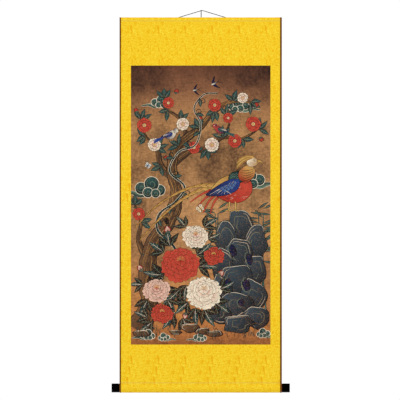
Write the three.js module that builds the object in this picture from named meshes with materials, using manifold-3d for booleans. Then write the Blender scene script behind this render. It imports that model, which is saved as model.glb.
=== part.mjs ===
// A silk hanging scroll, hung: a long picture on silk, bordered by yellow brocade, with narrow brown edgings.
// The cloth wraps a half-round wooden rod at its head and a round wooden roller with black knobs at its foot.
// A cord runs through two screw eyes behind the head and over a nail, and a tie hangs from it down the back.
// Millimetres, +Z up. The picture faces -Y.
// The origin is where the cord's underside lies on the nail that holds it.
import * as THREE from "three";
import { mergeVertices } from "three/addons/utils/BufferGeometryUtils.js";
import Module from "manifold-3d";

const wasm = await Module();
wasm.setup();

// Driving dimensions
const GAP = 0.3;
const CLOTH = 1.2;
const PICTURE_WIDTH = 500;
const PICTURE_HEIGHT = 1000;
const SIDE_WIDTH = 35;
const EDGING_WIDTH = 6;
const HEAD_HEIGHT = 173;
const FOOT_HEIGHT = 173;
const HEAD_TOP_Z = -23.5;
const CENTRE_X = -5;
const FRONT_Y = -12;

const ROD_HALF_HEIGHT = 5;
const ROD_DEPTH = 7;
const HEAD_FLAP = 9;
const GROOVE_DEPTH = 0.35;
const GROOVE_HALF = 1.1;

const ROLLER_RADIUS = 15.5;
const ROLLER_BEHIND_FRONT = 11;
const SEAM_ABOVE_ROLLER = 18.6;
const FOOT_FLAP = 11;
const TENON_RADIUS = 7;
const TENON_LENGTH = 17;

const TURNED_SIDES = 48;
const KNOB_RADIUS = 16;
const KNOB_LENGTH = 28;
const KNOB_ROUNDING = 2.6;

const CORD_RADIUS = 1.25;
const CORD_STEPS = 78;
const KNOT_RADIUS = 2.6;
const EYE_X = 96;
const EYE_ABOVE_ROD = 2.6;
const RING_RADIUS = 3;
const WIRE_RADIUS = 0.6;
const SHANK_RADIUS = 0.8;
const SHANK_SHORT_OF_FLAT = 1;

const TIE_RADIUS = 0.75;
const TIE_TIP_RADIUS = 1.7;
const TIE_TIP_LONG = 1.2;
const TIE_STEPS = 70;
const HITCH_X = -3.3;
const HITCH_LENGTH = 4.2;
const HITCH_CLEARANCE = 0.4;
const HITCH_TILT_DEG = 15;

const SIDES = [
  { name: "left", side: -1 },
  { name: "right", side: 1 },
];

// Places worked out from them
const INSIDE = CLOTH + GAP;
const headBottomZ = HEAD_TOP_Z - HEAD_HEIGHT;
const footTopZ = headBottomZ - PICTURE_HEIGHT;
const footBottomZ = footTopZ - FOOT_HEIGHT;
const mountHalfWidth = PICTURE_WIDTH / 2 + SIDE_WIDTH;
const mountLeft = CENTRE_X - mountHalfWidth + GAP / 2;
const mountRight = CENTRE_X + mountHalfWidth - GAP / 2;
const clothHalfWidth = mountHalfWidth + EDGING_WIDTH;
const rodFlatY = FRONT_Y + INSIDE;
const rodZ = HEAD_TOP_Z - ROD_HALF_HEIGHT - INSIDE;
const pocketOuterRadius = ROLLER_RADIUS + INSIDE;
const pocketInnerRadius = ROLLER_RADIUS + GAP;
const rollerY = FRONT_Y + ROLLER_BEHIND_FRONT;
const rollerZ = footBottomZ + pocketOuterRadius;
const seamZ = rollerZ + SEAM_ABOVE_ROLLER;

// Colours as they look in the photograph
function finish(color, roughness, metalness = 0) {
  return new THREE.MeshStandardMaterial({ color, roughness, metalness });
}
const brocade = finish(0xf4c828, 0.6);
const painted = finish(0x9c744c, 0.8);
const brownSilk = finish(0x854f12, 0.7);
const bareWood = finish(0xb98a57, 0.65);
const blackLacquer = finish(0x060606, 0.3);
const ironWire = finish(0x4a4a48, 0.4, 0.9);
const cordSilk = finish(0x3a3835, 0.85);

// Boolean cuts
function toSolid(geometry) {
  const bare = geometry.index ? geometry.toNonIndexed() : geometry.clone();
  bare.deleteAttribute("normal");
  bare.deleteAttribute("uv");
  const merged = mergeVertices(bare, 1e-4);
  return new wasm.Manifold(
    new wasm.Mesh({
      numProp: 3,
      vertProperties: merged.attributes.position.array,
      triVerts: new Uint32Array(merged.index.array),
    }),
  );
}

function toGeometry(solid) {
  const mesh = solid.getMesh();
  const points = new Float32Array(mesh.numVert * 3);
  for (let i = 0; i < mesh.numVert; i++) {
    points.set(mesh.vertProperties.subarray(i * mesh.numProp, i * mesh.numProp + 3), i * 3);
  }
  const geometry = new THREE.BufferGeometry();
  geometry.setAttribute("position", new THREE.BufferAttribute(points, 3));
  geometry.setIndex(new THREE.BufferAttribute(new Uint32Array(mesh.triVerts), 1));
  geometry.computeVertexNormals();
  return geometry;
}

// Sections of the cloth, drawn in the YZ plane and given their width along X
function arc(centre, radiusY, radiusZ, from, to, steps) {
  const points = [];
  for (let i = 0; i <= steps; i++) {
    const a = THREE.MathUtils.degToRad(from + ((to - from) * i) / steps);
    points.push(new THREE.Vector2(centre.x + radiusY * Math.cos(a), centre.y + radiusZ * Math.sin(a)));
  }
  return points;
}

// The shape's first coordinate is Y and its second is Z, so the extrusion runs along +X.
const YZ_TO_WORLD = new THREE.Matrix4().makeBasis(
  new THREE.Vector3(0, 1, 0),
  new THREE.Vector3(0, 0, 1),
  new THREE.Vector3(1, 0, 0),
);

function alongX(outline, holes, fromX, toX) {
  const shape = new THREE.Shape(THREE.ShapeUtils.isClockWise(outline) ? outline.toReversed() : outline);
  shape.holes = holes.map((hole) => new THREE.Path(hole));
  const geometry = new THREE.ExtrudeGeometry(shape, { depth: toX - fromX, bevelEnabled: false });
  geometry.applyMatrix4(YZ_TO_WORLD);
  geometry.translate(fromX, 0, 0);
  return geometry;
}

// Head pocket: the cloth turns over the rod's front corner, follows its round back and is pasted down
// below it.
const rodCentre = new THREE.Vector2(rodFlatY, rodZ);
const rodTopCorner = new THREE.Vector2(rodFlatY, rodZ + ROD_HALF_HEIGHT);
const rodLowCorner = new THREE.Vector2(rodFlatY, rodZ - ROD_HALF_HEIGHT);
const headSeamZ = rodZ - ROD_HALF_HEIGHT - INSIDE;

function headFront() {
  return [
    new THREE.Vector2(FRONT_Y, headSeamZ - GROOVE_HALF),
    new THREE.Vector2(FRONT_Y + GROOVE_DEPTH, headSeamZ),
    new THREE.Vector2(FRONT_Y, headSeamZ + GROOVE_HALF),
    ...arc(rodTopCorner, INSIDE, INSIDE, 180, 90, 5),
  ];
}

function headBack() {
  const flapY = FRONT_Y + 2 * CLOTH;
  const backDepth = ROD_DEPTH + INSIDE;
  const backHeight = ROD_HALF_HEIGHT + INSIDE;
  const meets = THREE.MathUtils.radToDeg(Math.acos((flapY - rodFlatY) / backDepth));
  return [
    ...arc(rodCentre, backDepth, backHeight, 90, -meets, 22).slice(1),
    new THREE.Vector2(flapY, headSeamZ - HEAD_FLAP),
    new THREE.Vector2(FRONT_Y + CLOTH, headSeamZ - HEAD_FLAP),
  ];
}

function headHole() {
  return [
    ...arc(rodCentre, ROD_DEPTH + GAP, ROD_HALF_HEIGHT + GAP, 90, -90, 20),
    ...arc(rodLowCorner, GAP, GAP, -90, -180, 2).slice(1),
    ...arc(rodTopCorner, GAP, GAP, 180, 90, 2).slice(0, -1),
  ];
}

// Foot pocket: the cloth leaves the sheet's plane at the seam, runs down in front of the roller, round
// under it and up behind it, and is pasted to the sheet's back above the seam.
const rollerCentre = new THREE.Vector2(rollerY, rollerZ);

// Where the straight from a point touches a circle round the roller: side 1 is its front and -1 its back.
function tangentAngle(point, radius, side) {
  const away = point.clone().sub(rollerCentre);
  return THREE.MathUtils.radToDeg(Math.atan2(away.y, away.x) + side * Math.acos(radius / away.length()));
}

const frontSeam = new THREE.Vector2(FRONT_Y, seamZ);
const backSeam = new THREE.Vector2(FRONT_Y + 2 * CLOTH, seamZ);
const frontTouch = tangentAngle(frontSeam, pocketOuterRadius, 1);
const backTouch = tangentAngle(backSeam, pocketOuterRadius, -1);

function footOutline() {
  return [
    new THREE.Vector2(FRONT_Y + CLOTH, seamZ + FOOT_FLAP),
    new THREE.Vector2(FRONT_Y + 2 * CLOTH, seamZ + FOOT_FLAP),
    backSeam,
    ...arc(rollerCentre, pocketOuterRadius, pocketOuterRadius, backTouch, frontTouch - 360, 44),
    frontSeam,
  ];
}

// The pocket's inside is the roller's circle and the wedge between the two straights, which meet at the cusp.
function footHole() {
  const unit = (degrees) => {
    const a = THREE.MathUtils.degToRad(degrees);
    return new THREE.Vector2(Math.cos(a), Math.sin(a));
  };
  const front = unit(frontTouch);
  const back = unit(backTouch);
  const between = 1 + front.dot(back);
  const cusp = front.clone().add(back).multiplyScalar(pocketInnerRadius / between).add(rollerCentre);
  return [cusp, ...arc(rollerCentre, pocketInnerRadius, pocketInnerRadius, backTouch, frontTouch - 360, 44)];
}

// Brocade, picture and edgings
function headPanel() {
  const outline = [new THREE.Vector2(FRONT_Y, headBottomZ + GAP / 2), ...headFront(), ...headBack()];
  outline.push(new THREE.Vector2(FRONT_Y + CLOTH, headBottomZ + GAP / 2));
  const cloth = toSolid(alongX(outline, [headHole()], mountLeft, mountRight));
  return toGeometry(SIDES.reduce((solid, { side }) => solid.subtract(shankHole(side)), cloth));
}

function footPanel() {
  const outline = [new THREE.Vector2(FRONT_Y + CLOTH, footTopZ - GAP / 2), ...footOutline()];
  outline.push(new THREE.Vector2(FRONT_Y, footTopZ - GAP / 2));
  return alongX(outline, [footHole()], mountLeft, mountRight);
}

// A flat sheet between the head and the foot panels, given the distances of its two edges from the middle
function flatCloth(left, right) {
  const outline = [
    new THREE.Vector2(FRONT_Y, footTopZ + GAP / 2),
    new THREE.Vector2(FRONT_Y, headBottomZ - GAP / 2),
    new THREE.Vector2(FRONT_Y + CLOTH, headBottomZ - GAP / 2),
    new THREE.Vector2(FRONT_Y + CLOTH, footTopZ + GAP / 2),
  ];
  return alongX(outline, [], CENTRE_X + left + GAP / 2, CENTRE_X + right - GAP / 2);
}

// One narrow length of brown silk, wrapped round the rod above and the roller below like the brocade
function edging(side) {
  const outline = [...headFront(), ...headBack(), ...footOutline()];
  const edges = [mountHalfWidth + GAP / 2, clothHalfWidth].map((edge) => CENTRE_X + side * edge);
  return alongX(outline, [headHole(), footHole()], Math.min(...edges), Math.max(...edges));
}

// Rod, roller and knobs
const eyeZ = rodZ + EYE_ABOVE_ROD;
const eyeShareOfHeight = EYE_ABOVE_ROD / (ROD_HALF_HEIGHT + INSIDE);
const behindRodAtEye = (ROD_DEPTH + INSIDE) * Math.sqrt(1 - eyeShareOfHeight ** 2);
const ringY = rodFlatY + behindRodAtEye + GAP + RING_RADIUS + WIRE_RADIUS;
const shankTipY = rodFlatY + SHANK_SHORT_OF_FLAT;

// A cylinder along Y, as a solid
function alongY(radius, fromY, toY, x, z, sides) {
  const geometry = new THREE.CylinderGeometry(radius, radius, toY - fromY, sides);
  geometry.translate(x, (fromY + toY) / 2, z);
  return toSolid(geometry);
}

function shankHole(side) {
  return alongY(SHANK_RADIUS + GAP, shankTipY - GAP, ringY, side * EYE_X, eyeZ, 12);
}

function topRod() {
  const halfLength = clothHalfWidth - GAP;
  const outline = arc(rodCentre, ROD_DEPTH, ROD_HALF_HEIGHT, 90, -90, 20);
  const wood = toSolid(alongX(outline, [], CENTRE_X - halfLength, CENTRE_X + halfLength));
  return toGeometry(SIDES.reduce((solid, { side }) => solid.subtract(shankHole(side)), wood));
}

// A turned piece: a profile of radius and distance along X, spun round the roller's axis
function turned(profile) {
  const geometry = new THREE.LatheGeometry(profile, TURNED_SIDES);
  geometry.rotateZ(-Math.PI / 2);
  return geometry;
}

function roller() {
  const tenonEnd = clothHalfWidth + TENON_LENGTH;
  const profile = [
    [0, -tenonEnd],
    [TENON_RADIUS, -tenonEnd],
    [TENON_RADIUS, -clothHalfWidth],
    [ROLLER_RADIUS, -clothHalfWidth],
    [ROLLER_RADIUS, clothHalfWidth],
    [TENON_RADIUS, clothHalfWidth],
    [TENON_RADIUS, tenonEnd],
    [0, tenonEnd],
  ];
  return turned(profile.map(([radius, along]) => new THREE.Vector2(radius, along)));
}

// Its blind socket takes the roller's tenon, and its outer rim is rounded.
function knob() {
  const socketRadius = TENON_RADIUS + GAP;
  const socketDepth = TENON_LENGTH + GAP;
  const rim = new THREE.Vector2(KNOB_RADIUS - KNOB_ROUNDING, KNOB_LENGTH - KNOB_ROUNDING);
  const profile = [
    new THREE.Vector2(0, socketDepth),
    new THREE.Vector2(socketRadius, socketDepth),
    new THREE.Vector2(socketRadius, GAP),
    new THREE.Vector2(KNOB_RADIUS, GAP),
    ...arc(rim, KNOB_ROUNDING, KNOB_ROUNDING, 0, 90, 6),
    new THREE.Vector2(0, KNOB_LENGTH),
  ];
  return turned(profile);
}

// Screw eyes, driven into the rod through the cloth on its back
function screwEye(side) {
  const ring = new THREE.TorusGeometry(RING_RADIUS, WIRE_RADIUS, 10, 24);
  ring.rotateY(Math.PI / 2);
  ring.translate(side * EYE_X, ringY, eyeZ);
  const shank = alongY(SHANK_RADIUS, shankTipY, ringY - RING_RADIUS, side * EYE_X, eyeZ, 10);
  return toGeometry(toSolid(ring).add(shank));
}

// A profile of radius and distance along the axis, in units of its own, spun round the Y axis
function spun(profile, unit, sides) {
  const points = profile.map(([radius, along]) => new THREE.Vector2(radius * unit, along * unit));
  return new THREE.LatheGeometry(points, sides);
}

// Cords: a tube of eight sides along a smooth curve
function tube(points, radius, steps) {
  const path = new THREE.CatmullRomCurve3(points.map((p) => new THREE.Vector3(...p)));
  const section = new THREE.Shape(arc(new THREE.Vector2(0, 0), radius, radius, 0, 315, 7));
  return new THREE.ExtrudeGeometry(section, { steps, bevelEnabled: false, extrudePath: path });
}

// The right half of the hanging cord's route, from the nail to just past the right eye.
// The left half mirrors it.
const CORD_HALF_ROUTE = [
  [0, 0, 1.25],
  [1.4, 0, 1.15],
  [2.9, 0.05, 0.83],
  [5, 0.1, 0.2],
  [12, 0.2, -1.9],
  [22, 0.4, -4.9],
  [34, 0.6, -8.5],
  [48, 0.8, -12.7],
  [62, 1, -16.9],
  [75, 1.15, -20.8],
  [85, 1.2, -23.75],
  [92, 1.2, -25.7],
  [94.6, 1.2, -26.35],
  [96.9, 1.2, -26.9],
];

// The cord's height at a distance from the nail, read between the points of its route
function cordHeight(distance) {
  const next = CORD_HALF_ROUTE.findIndex(([x]) => x > distance);
  const [x0, , z0] = CORD_HALF_ROUTE[next - 1];
  const [x1, , z1] = CORD_HALF_ROUTE[next];
  return THREE.MathUtils.mapLinear(distance, x0, x1, z0, z1);
}

function hangingCord() {
  const left = CORD_HALF_ROUTE.slice(1).map(([x, y, z]) => [-x, y, z]);
  return tube([...left.reverse(), ...CORD_HALF_ROUTE], CORD_RADIUS, CORD_STEPS);
}

// The stopper knot that keeps each end of the cord from slipping back through its ring
function stopperKnot() {
  const profile = [
    [0, -1],
    [0.62, -1],
    [0.98, -0.55],
    [0.86, 0],
    [0.98, 0.55],
    [0.62, 1],
    [0, 1],
  ];
  const geometry = spun(profile, KNOT_RADIUS, 14);
  geometry.rotateZ(-Math.PI / 2);
  return geometry;
}

// The tie is folded in half and hitched round the hanging cord beside the nail.
function hitch() {
  const inner = CORD_RADIUS + HITCH_CLEARANCE;
  const turn = inner + 2 * TIE_RADIUS;
  const shoulder = inner + 1.5 * TIE_RADIUS;
  const half = HITCH_LENGTH / 2;
  const profile = [
    [inner, -half],
    [shoulder, -half],
    [turn, -half / 2],
    [shoulder, 0],
    [turn, half / 2],
    [shoulder, half],
    [inner, half],
    [inner, -half],
  ];
  const geometry = spun(profile, 1, 18);
  geometry.rotateZ(-Math.PI / 2);
  return geometry;
}

// Each strand's route, from under the hitch down the scroll's back
const TIE_ROUTES = {};
TIE_ROUTES.left = [
  [-4.25, 0, -2.8],
  [-4.3, 0.1, -10],
  [-4.4, 0.3, -20],
  [-4.6, 0.5, -33],
  [-4.9, 0.6, -50],
  [-5.3, 0.6, -72],
  [-5.9, 0.5, -98],
  [-6.7, 0.3, -126],
  [-7.6, 0, -156],
  [-8.4, -0.3, -188],
  [-9, -0.5, -220],
  [-9.3, -0.6, -252],
  [-9.2, -0.5, -284],
  [-8.8, -0.3, -314],
  [-8.2, 0, -343],
];
TIE_ROUTES.right = [
  [-2.25, 0, -2.6],
  [-2.2, 0.1, -10],
  [-2.1, 0.3, -20],
  [-1.9, 0.5, -33],
  [-1.5, 0.6, -50],
  [-0.9, 0.7, -72],
  [0, 0.7, -98],
  [1.1, 0.6, -126],
  [2.3, 0.4, -156],
  [3.4, 0.2, -188],
  [4.3, 0, -220],
  [4.9, -0.1, -252],
  [5.1, -0.1, -284],
  [5, 0, -314],
  [4.6, 0.2, -341],
  [4.2, 0.3, -361],
];

// A small overhand knot that stops each strand's end from fraying
function tieTip() {
  const profile = [
    [0, -TIE_TIP_LONG],
    [0.6, -1.1],
    [1, -0.5],
    [0.85, 0],
    [1, 0.5],
    [0.6, 1.1],
    [0, TIE_TIP_LONG],
  ];
  const geometry = spun(profile, TIE_TIP_RADIUS, 12);
  geometry.rotateX(Math.PI / 2);
  return geometry;
}

// Assembly
const scroll = new THREE.Group();

function add(name, geometry, material, position = [0, 0, 0], turn = [0, 0, 0]) {
  const mesh = new THREE.Mesh(geometry, material);
  mesh.name = name;
  mesh.position.set(...position);
  mesh.rotation.set(...turn);
  scroll.add(mesh);
}

add("head_panel", headPanel(), brocade);
add("foot_panel", footPanel(), brocade);
const pictureHalfWidth = PICTURE_WIDTH / 2;
add("side_left", flatCloth(-mountHalfWidth, -pictureHalfWidth), brocade);
add("side_right", flatCloth(pictureHalfWidth, mountHalfWidth), brocade);
add("picture", flatCloth(-pictureHalfWidth, pictureHalfWidth), painted);

add("top_rod", topRod(), bareWood);
add("roller", roller(), bareWood, [CENTRE_X, rollerY, rollerZ]);
add("hanging_cord", hangingCord(), cordSilk);
const [cordEndX, cordEndY, cordEndZ] = CORD_HALF_ROUTE.at(-1);
const knotX = cordEndX + GAP + KNOT_RADIUS;
const hitchTilt = -THREE.MathUtils.degToRad(HITCH_TILT_DEG);
add("tie_hitch", hitch(), cordSilk, [HITCH_X, 0, cordHeight(-HITCH_X)], [0, hitchTilt, 0]);
const tipDrop = GAP + TIE_TIP_LONG * TIE_TIP_RADIUS;

for (const { name, side } of SIDES) {
  add(`edging_${name}`, edging(side), brownSilk);
  const knobTurn = [0, 0, side < 0 ? Math.PI : 0];
  add(`knob_${name}`, knob(), blackLacquer, [CENTRE_X + side * clothHalfWidth, rollerY, rollerZ], knobTurn);
  add(`screw_eye_${name}`, screwEye(side), ironWire);
  add(`cord_knot_${name}`, stopperKnot(), cordSilk, [side * knotX, cordEndY, cordEndZ]);
  add(`tie_strand_${name}`, tube(TIE_ROUTES[name], TIE_RADIUS, TIE_STEPS), cordSilk);
  const [tipX, tipY, tipZ] = TIE_ROUTES[name].at(-1);
  add(`tie_tip_${name}`, tieTip(), cordSilk, [tipX, tipY, tipZ - tipDrop]);
}

export default scroll;
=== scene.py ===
import math
import random

import bmesh
import bpy
import numpy as np
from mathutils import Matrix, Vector, noise
from mathutils.geometry import delaunay_2d_cdt


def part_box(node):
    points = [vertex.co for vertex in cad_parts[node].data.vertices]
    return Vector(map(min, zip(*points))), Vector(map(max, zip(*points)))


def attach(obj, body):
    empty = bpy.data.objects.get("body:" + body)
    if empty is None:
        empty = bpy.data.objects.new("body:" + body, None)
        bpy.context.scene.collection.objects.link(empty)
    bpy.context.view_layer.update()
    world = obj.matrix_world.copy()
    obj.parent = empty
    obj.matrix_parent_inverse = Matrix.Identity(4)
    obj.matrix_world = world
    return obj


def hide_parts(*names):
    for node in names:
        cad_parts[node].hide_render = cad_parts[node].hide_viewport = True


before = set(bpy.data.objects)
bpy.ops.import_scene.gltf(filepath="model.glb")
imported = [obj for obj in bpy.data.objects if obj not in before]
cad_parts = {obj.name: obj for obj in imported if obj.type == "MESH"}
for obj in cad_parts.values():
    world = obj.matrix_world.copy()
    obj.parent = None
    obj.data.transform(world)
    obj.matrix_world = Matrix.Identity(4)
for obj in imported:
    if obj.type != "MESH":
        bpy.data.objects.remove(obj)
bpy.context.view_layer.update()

# Camera. The scroll hangs dead straight and is seen square on, through a very long lens from far off,
# so that its edges stay parallel. The picture's width sets the scale of the view.
mm = 0.001
VIEW_PIXELS = 400
PICTURE_PIXELS = 139.45
PICTURE_WIDTH = 500 * mm
VIEW_WIDTH = VIEW_PIXELS * PICTURE_WIDTH / PICTURE_PIXELS
CLOTH_CENTRE_PIXEL = 200.7
CLOTH_FOOT_PIXEL = 392.75
picture_low, picture_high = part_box("picture")
foot_low, foot_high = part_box("foot_panel")
pixel = VIEW_WIDTH / VIEW_PIXELS
cloth_centre = (picture_low.x + picture_high.x) / 2
view_centre = Vector(
    (
        cloth_centre - (CLOTH_CENTRE_PIXEL - VIEW_PIXELS / 2) * pixel,
        picture_low.y,
        foot_low.z + (CLOTH_FOOT_PIXEL - VIEW_PIXELS / 2) * pixel,
    )
)

lens = bpy.data.cameras.new("view")
lens.lens = 600
lens.sensor_width = 36
camera = bpy.data.objects.new("view", lens)
bpy.context.collection.objects.link(camera)
camera.location = view_centre - Vector((0, VIEW_WIDTH * lens.lens / lens.sensor_width, 0))
camera.rotation_euler = (math.pi / 2, 0, 0)
lens.clip_end = 60
bpy.context.scene.camera = camera


# Hanging cord. A dark grey silk cord of three strands, twisted, two and a half millimetres thick.
# It runs up from a screw eye behind the head, over the nail, and down to the other eye.
CORD_THICKNESS = 2.5 * mm
CORD_TWIST = 7.5 * mm
CORD_STRANDS = 3
CORD_VALLEY = 0.74
STEPS_A_TURN = 10
CORD_GREY = (0.008, 0.008, 0.0075)
WORN_GREY = (0.024, 0.023, 0.021)
CORD_HALF_ROUTE = [
    (0, 0, 1.25),
    (1.4, 0, 1.15),
    (2.9, 0.05, 0.83),
    (5, 0.1, 0.2),
    (12, 0.2, -1.9),
    (22, 0.4, -4.9),
    (34, 0.6, -8.5),
    (48, 0.8, -12.7),
    (62, 1, -16.9),
    (75, 1.15, -20.8),
    (85, 1.2, -23.75),
    (92, 1.2, -25.7),
    (94.6, 1.2, -26.35),
    (96.9, 1.2, -26.9),
]


def flowing(points, closed=False, each=5):
    """A smooth line through given points."""
    points = [Vector(p) for p in points]
    count = len(points)
    line = []
    for i in range(count if closed else count - 1):
        before, here, there, after = (
            points[j % count] if closed else points[min(max(j, 0), count - 1)] for j in range(i - 1, i + 3)
        )
        for k in range(each):
            t = k / each
            bend = 2 * before - 5 * here + 4 * there - after
            turn = 3 * here - before - 3 * there + after
            line.append(here + (there - before) * (t / 2) + bend * (t * t / 2) + turn * (t**3 / 2))
    if not closed:
        line.append(points[-1])
    return line


def length_of(line):
    return sum((b - a).length for a, b in zip(line, line[1:]))


def new_piece(name, body_slot, node_name, *materials):
    """Names the piece just made, gives it its materials, parents it to the root and hides the solid it stands
    for.
    """
    piece = bpy.context.active_object
    piece.name = name
    piece.data.name = name
    if materials:
        piece.data.materials.clear()
    for material in materials:
        piece.data.materials.append(material)
    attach(piece, "root")
    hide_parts(node_name)
    return piece


def finish_with(piece, kind, **settings):
    """Adds a modifier and applies it."""
    modifier = piece.modifiers.new(kind.title(), kind)
    for setting, value in settings.items():
        setattr(modifier, setting, value)
    bpy.ops.object.modifier_apply(modifier=modifier.name)


def select_only(piece, parts, wanted):
    """In edit mode, selects the vertices, edges or faces that are wanted and no others."""
    bpy.ops.mesh.select_all(action="DESELECT")
    cells = bmesh.from_edit_mesh(piece.data)
    cells.normal_update()
    for part in getattr(cells, parts):
        part.select_set(wanted(part))
    bmesh.update_edit_mesh(piece.data)


def shader(name, colour, roughness, metallic=0.0, specular=0.3):
    """A new material, with its node tree and its surface shader."""
    material = bpy.data.materials.new(name)
    material.use_nodes = True
    tree = material.node_tree
    surface = tree.nodes["Principled BSDF"]
    feed(tree, surface, Base_Color=colour, Roughness=roughness)
    feed(tree, surface, Metallic=metallic, Specular_IOR_Level=specular)
    return material, tree, surface


def join(tree, socket, value):
    """Feeds a socket from another one, or sets it to a value or to a colour."""
    if isinstance(value, bpy.types.NodeSocket):
        tree.links.new(value, socket)
    else:
        socket.default_value = (*value, 1) if socket.type == "RGBA" else value


def feed(tree, made, **inputs):
    """Fills a node's inputs by name, or by number after the letter i."""
    for key, value in inputs.items():
        numbered = key[0] == "i" and key[1:].isdigit()
        join(tree, made.inputs[int(key[1:]) if numbered else key.replace("_", " ")], value)
    return made


def node(tree, kind, **inputs):
    """A new node, with its own settings and its inputs."""
    made = tree.nodes.new(kind)
    for key in [key for key in inputs if key in made.bl_rna.properties]:
        setattr(made, key, inputs.pop(key))
    return feed(tree, made, **inputs)


def object_place(tree):
    return node(tree, "ShaderNodeTexCoord").outputs["Object"]


def maths(tree, operation, a, b=0.0, c=0.0, clamp=False):
    return node(tree, "ShaderNodeMath", operation=operation, use_clamp=clamp, i0=a, i1=b, i2=c).outputs[0]


def blend(tree, share, first, second, how="MIX"):
    """Two colours mixed by a share of the second."""
    kind = dict(data_type="RGBA", blend_type=how)
    return node(tree, "ShaderNodeMix", **kind, i0=share, i6=first, i7=second).outputs[2]


def tinted(tree, colour, level, low, high, dark, light):
    """A colour made darker where the level is low and lighter where it is high."""
    tint = blend(tree, ramp(tree, level, low, high), [dark] * 3, [light] * 3)
    return blend(tree, 1.0, colour, tint, "MULTIPLY")


def speckle(tree, place, size, detail=2.0, stretch=(1, 1, 1)):
    """Noise whose grains are about this size, pulled out by stretch."""
    scale = tuple(1 / (size * pull) for pull in stretch)
    placed = node(tree, "ShaderNodeMapping", Vector=place, Scale=scale).outputs[0]
    return node(tree, "ShaderNodeTexNoise", Vector=placed, Scale=1.0, Detail=detail).outputs["Fac"]


def ramp(tree, value, low, high, start=0.0, end=1.0):
    """The value's range from low to high, spread over start to end and held there."""
    return node(tree, "ShaderNodeMapRange", i0=value, i1=low, i2=high, i3=start, i4=end).outputs[0]


def raised(tree, height, depth, strength=1.0):
    """Bump of a real depth, from a height between 0 and 1."""
    return node(tree, "ShaderNodeBump", Strength=strength, Distance=depth, Height=height).outputs[0]


def twisted_cord(name, route, thickness, twist, node_name):
    """A cord of three strands: its section is wound along X and then laid along its route."""
    line = flowing([Vector(p) * mm for p in route])
    length = length_of(line)
    turns = round(length / twist)
    bpy.ops.object.select_all(action="DESELECT")
    around = 4 * CORD_STRANDS
    bpy.ops.mesh.primitive_circle_add(vertices=around, radius=thickness / 2, rotation=(0, math.pi / 2, 0))
    piece = bpy.context.active_object
    bpy.ops.object.transform_apply(rotation=True)
    bpy.ops.object.mode_set(mode="EDIT")
    select_only(piece, "verts", lambda corner: corner.index % 4 == 0)
    bpy.ops.transform.resize(value=[CORD_VALLEY] * 3, center_override=(0, 0, 0))
    bpy.ops.object.mode_set(mode="OBJECT")
    turn = dict(axis="X", angle=math.tau, screw_offset=length / turns, iterations=turns)
    finish_with(piece, "SCREW", steps=STEPS_A_TURN, render_steps=STEPS_A_TURN, **turn)
    curve = bpy.data.curves.new(name, "CURVE")
    curve.dimensions = "3D"
    spline = curve.splines.new("POLY")
    spline.points.add(len(line) - 1)
    for point, place in zip(spline.points, line):
        point.co = (*place, 1)
    path = bpy.data.objects.new(name, curve)
    bpy.context.collection.objects.link(path)
    finish_with(piece, "CURVE", object=path, deform_axis="POS_X")
    bpy.data.objects.remove(path)
    bpy.ops.object.mode_set(mode="EDIT")
    bpy.ops.mesh.select_all(action="SELECT")
    bpy.ops.mesh.fill_holes(sides=0)
    bpy.ops.mesh.normals_make_consistent(inside=False)
    bpy.ops.object.mode_set(mode="OBJECT")
    bpy.ops.object.shade_smooth_by_angle(angle=math.radians(50))
    return new_piece(name, "grey_cord", node_name, grey_cord), line, length


def cord_silk():
    material, tree, surface = shader("grey cord silk", CORD_GREY, 0.75, specular=0.12)
    place = object_place(tree)
    fibres = speckle(tree, place, 0.35 * mm, 3, (4, 1, 1))
    wear = speckle(tree, place, 9 * mm)
    worn = blend(tree, ramp(tree, wear, 0.45, 0.75), CORD_GREY, WORN_GREY)
    colour = tinted(tree, worn, fibres, 0.3, 0.7, 0.55, 1.25)
    feed(tree, surface, Base_Color=colour, Sheen_Weight=0.06, Sheen_Roughness=0.4)
    feed(tree, surface, Normal=raised(tree, fibres, 0.12 * mm))
    return material


grey_cord = cord_silk()
left_half = [(-x, y, z) for x, y, z in CORD_HALF_ROUTE[:0:-1]]
hanging_cord, cord_line, cord_length = twisted_cord(
    "hanging_cord_twisted", left_half + CORD_HALF_ROUTE, CORD_THICKNESS, CORD_TWIST, "hanging_cord"
)


# Stopper knots. Each end of the cord is knotted outside its screw eye, so that it can't slip back.
# A knot is three tight turns of the same cord, one over another.
KNOT_SIZE = 2.5 * mm
TURN_REACH = 0.52
TURN_HALF = 0.46
KNOT_GRAIN = 0.09


def ring(centre, rotation, reach, half, around, across):
    """A closed ring: reach is from its centre to the middle of its thickness."""
    bpy.ops.mesh.primitive_torus_add(
        location=centre,
        rotation=rotation,
        major_radius=reach,
        minor_radius=half,
        major_segments=around,
        minor_segments=across,
    )
    return bpy.context.active_object


def settle():
    """Writes the place, turn and stretch of the piece at hand into its mesh."""
    bpy.ops.object.transform_apply(location=True, rotation=True, scale=True)


def fused(rings, grain):
    """Rings of cord joined in one lump."""
    for turn in rings:
        turn.select_set(True)
    bpy.ops.object.join()
    settle()
    finish_with(bpy.context.active_object, "REMESH", mode="VOXEL", voxel_size=grain)


def tight_knot(name, centre, size, turns, node_name):
    """Turns of cord pulled tight, each a ring of its own tilt."""
    bpy.ops.object.select_all(action="DESELECT")
    rings = []
    for tilt_y, tilt_z, shift in turns:
        tilt = (0, math.radians(tilt_y), math.radians(tilt_z))
        rings.append(ring(centre + Vector(shift) * size, tilt, size * TURN_REACH, size * TURN_HALF, 28, 14))
    fused(rings, size * KNOT_GRAIN)
    finish_with(bpy.context.active_object, "SMOOTH", iterations=2)
    bpy.ops.object.shade_smooth()
    return new_piece(name, "grey_cord", node_name, grey_cord)


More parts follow.
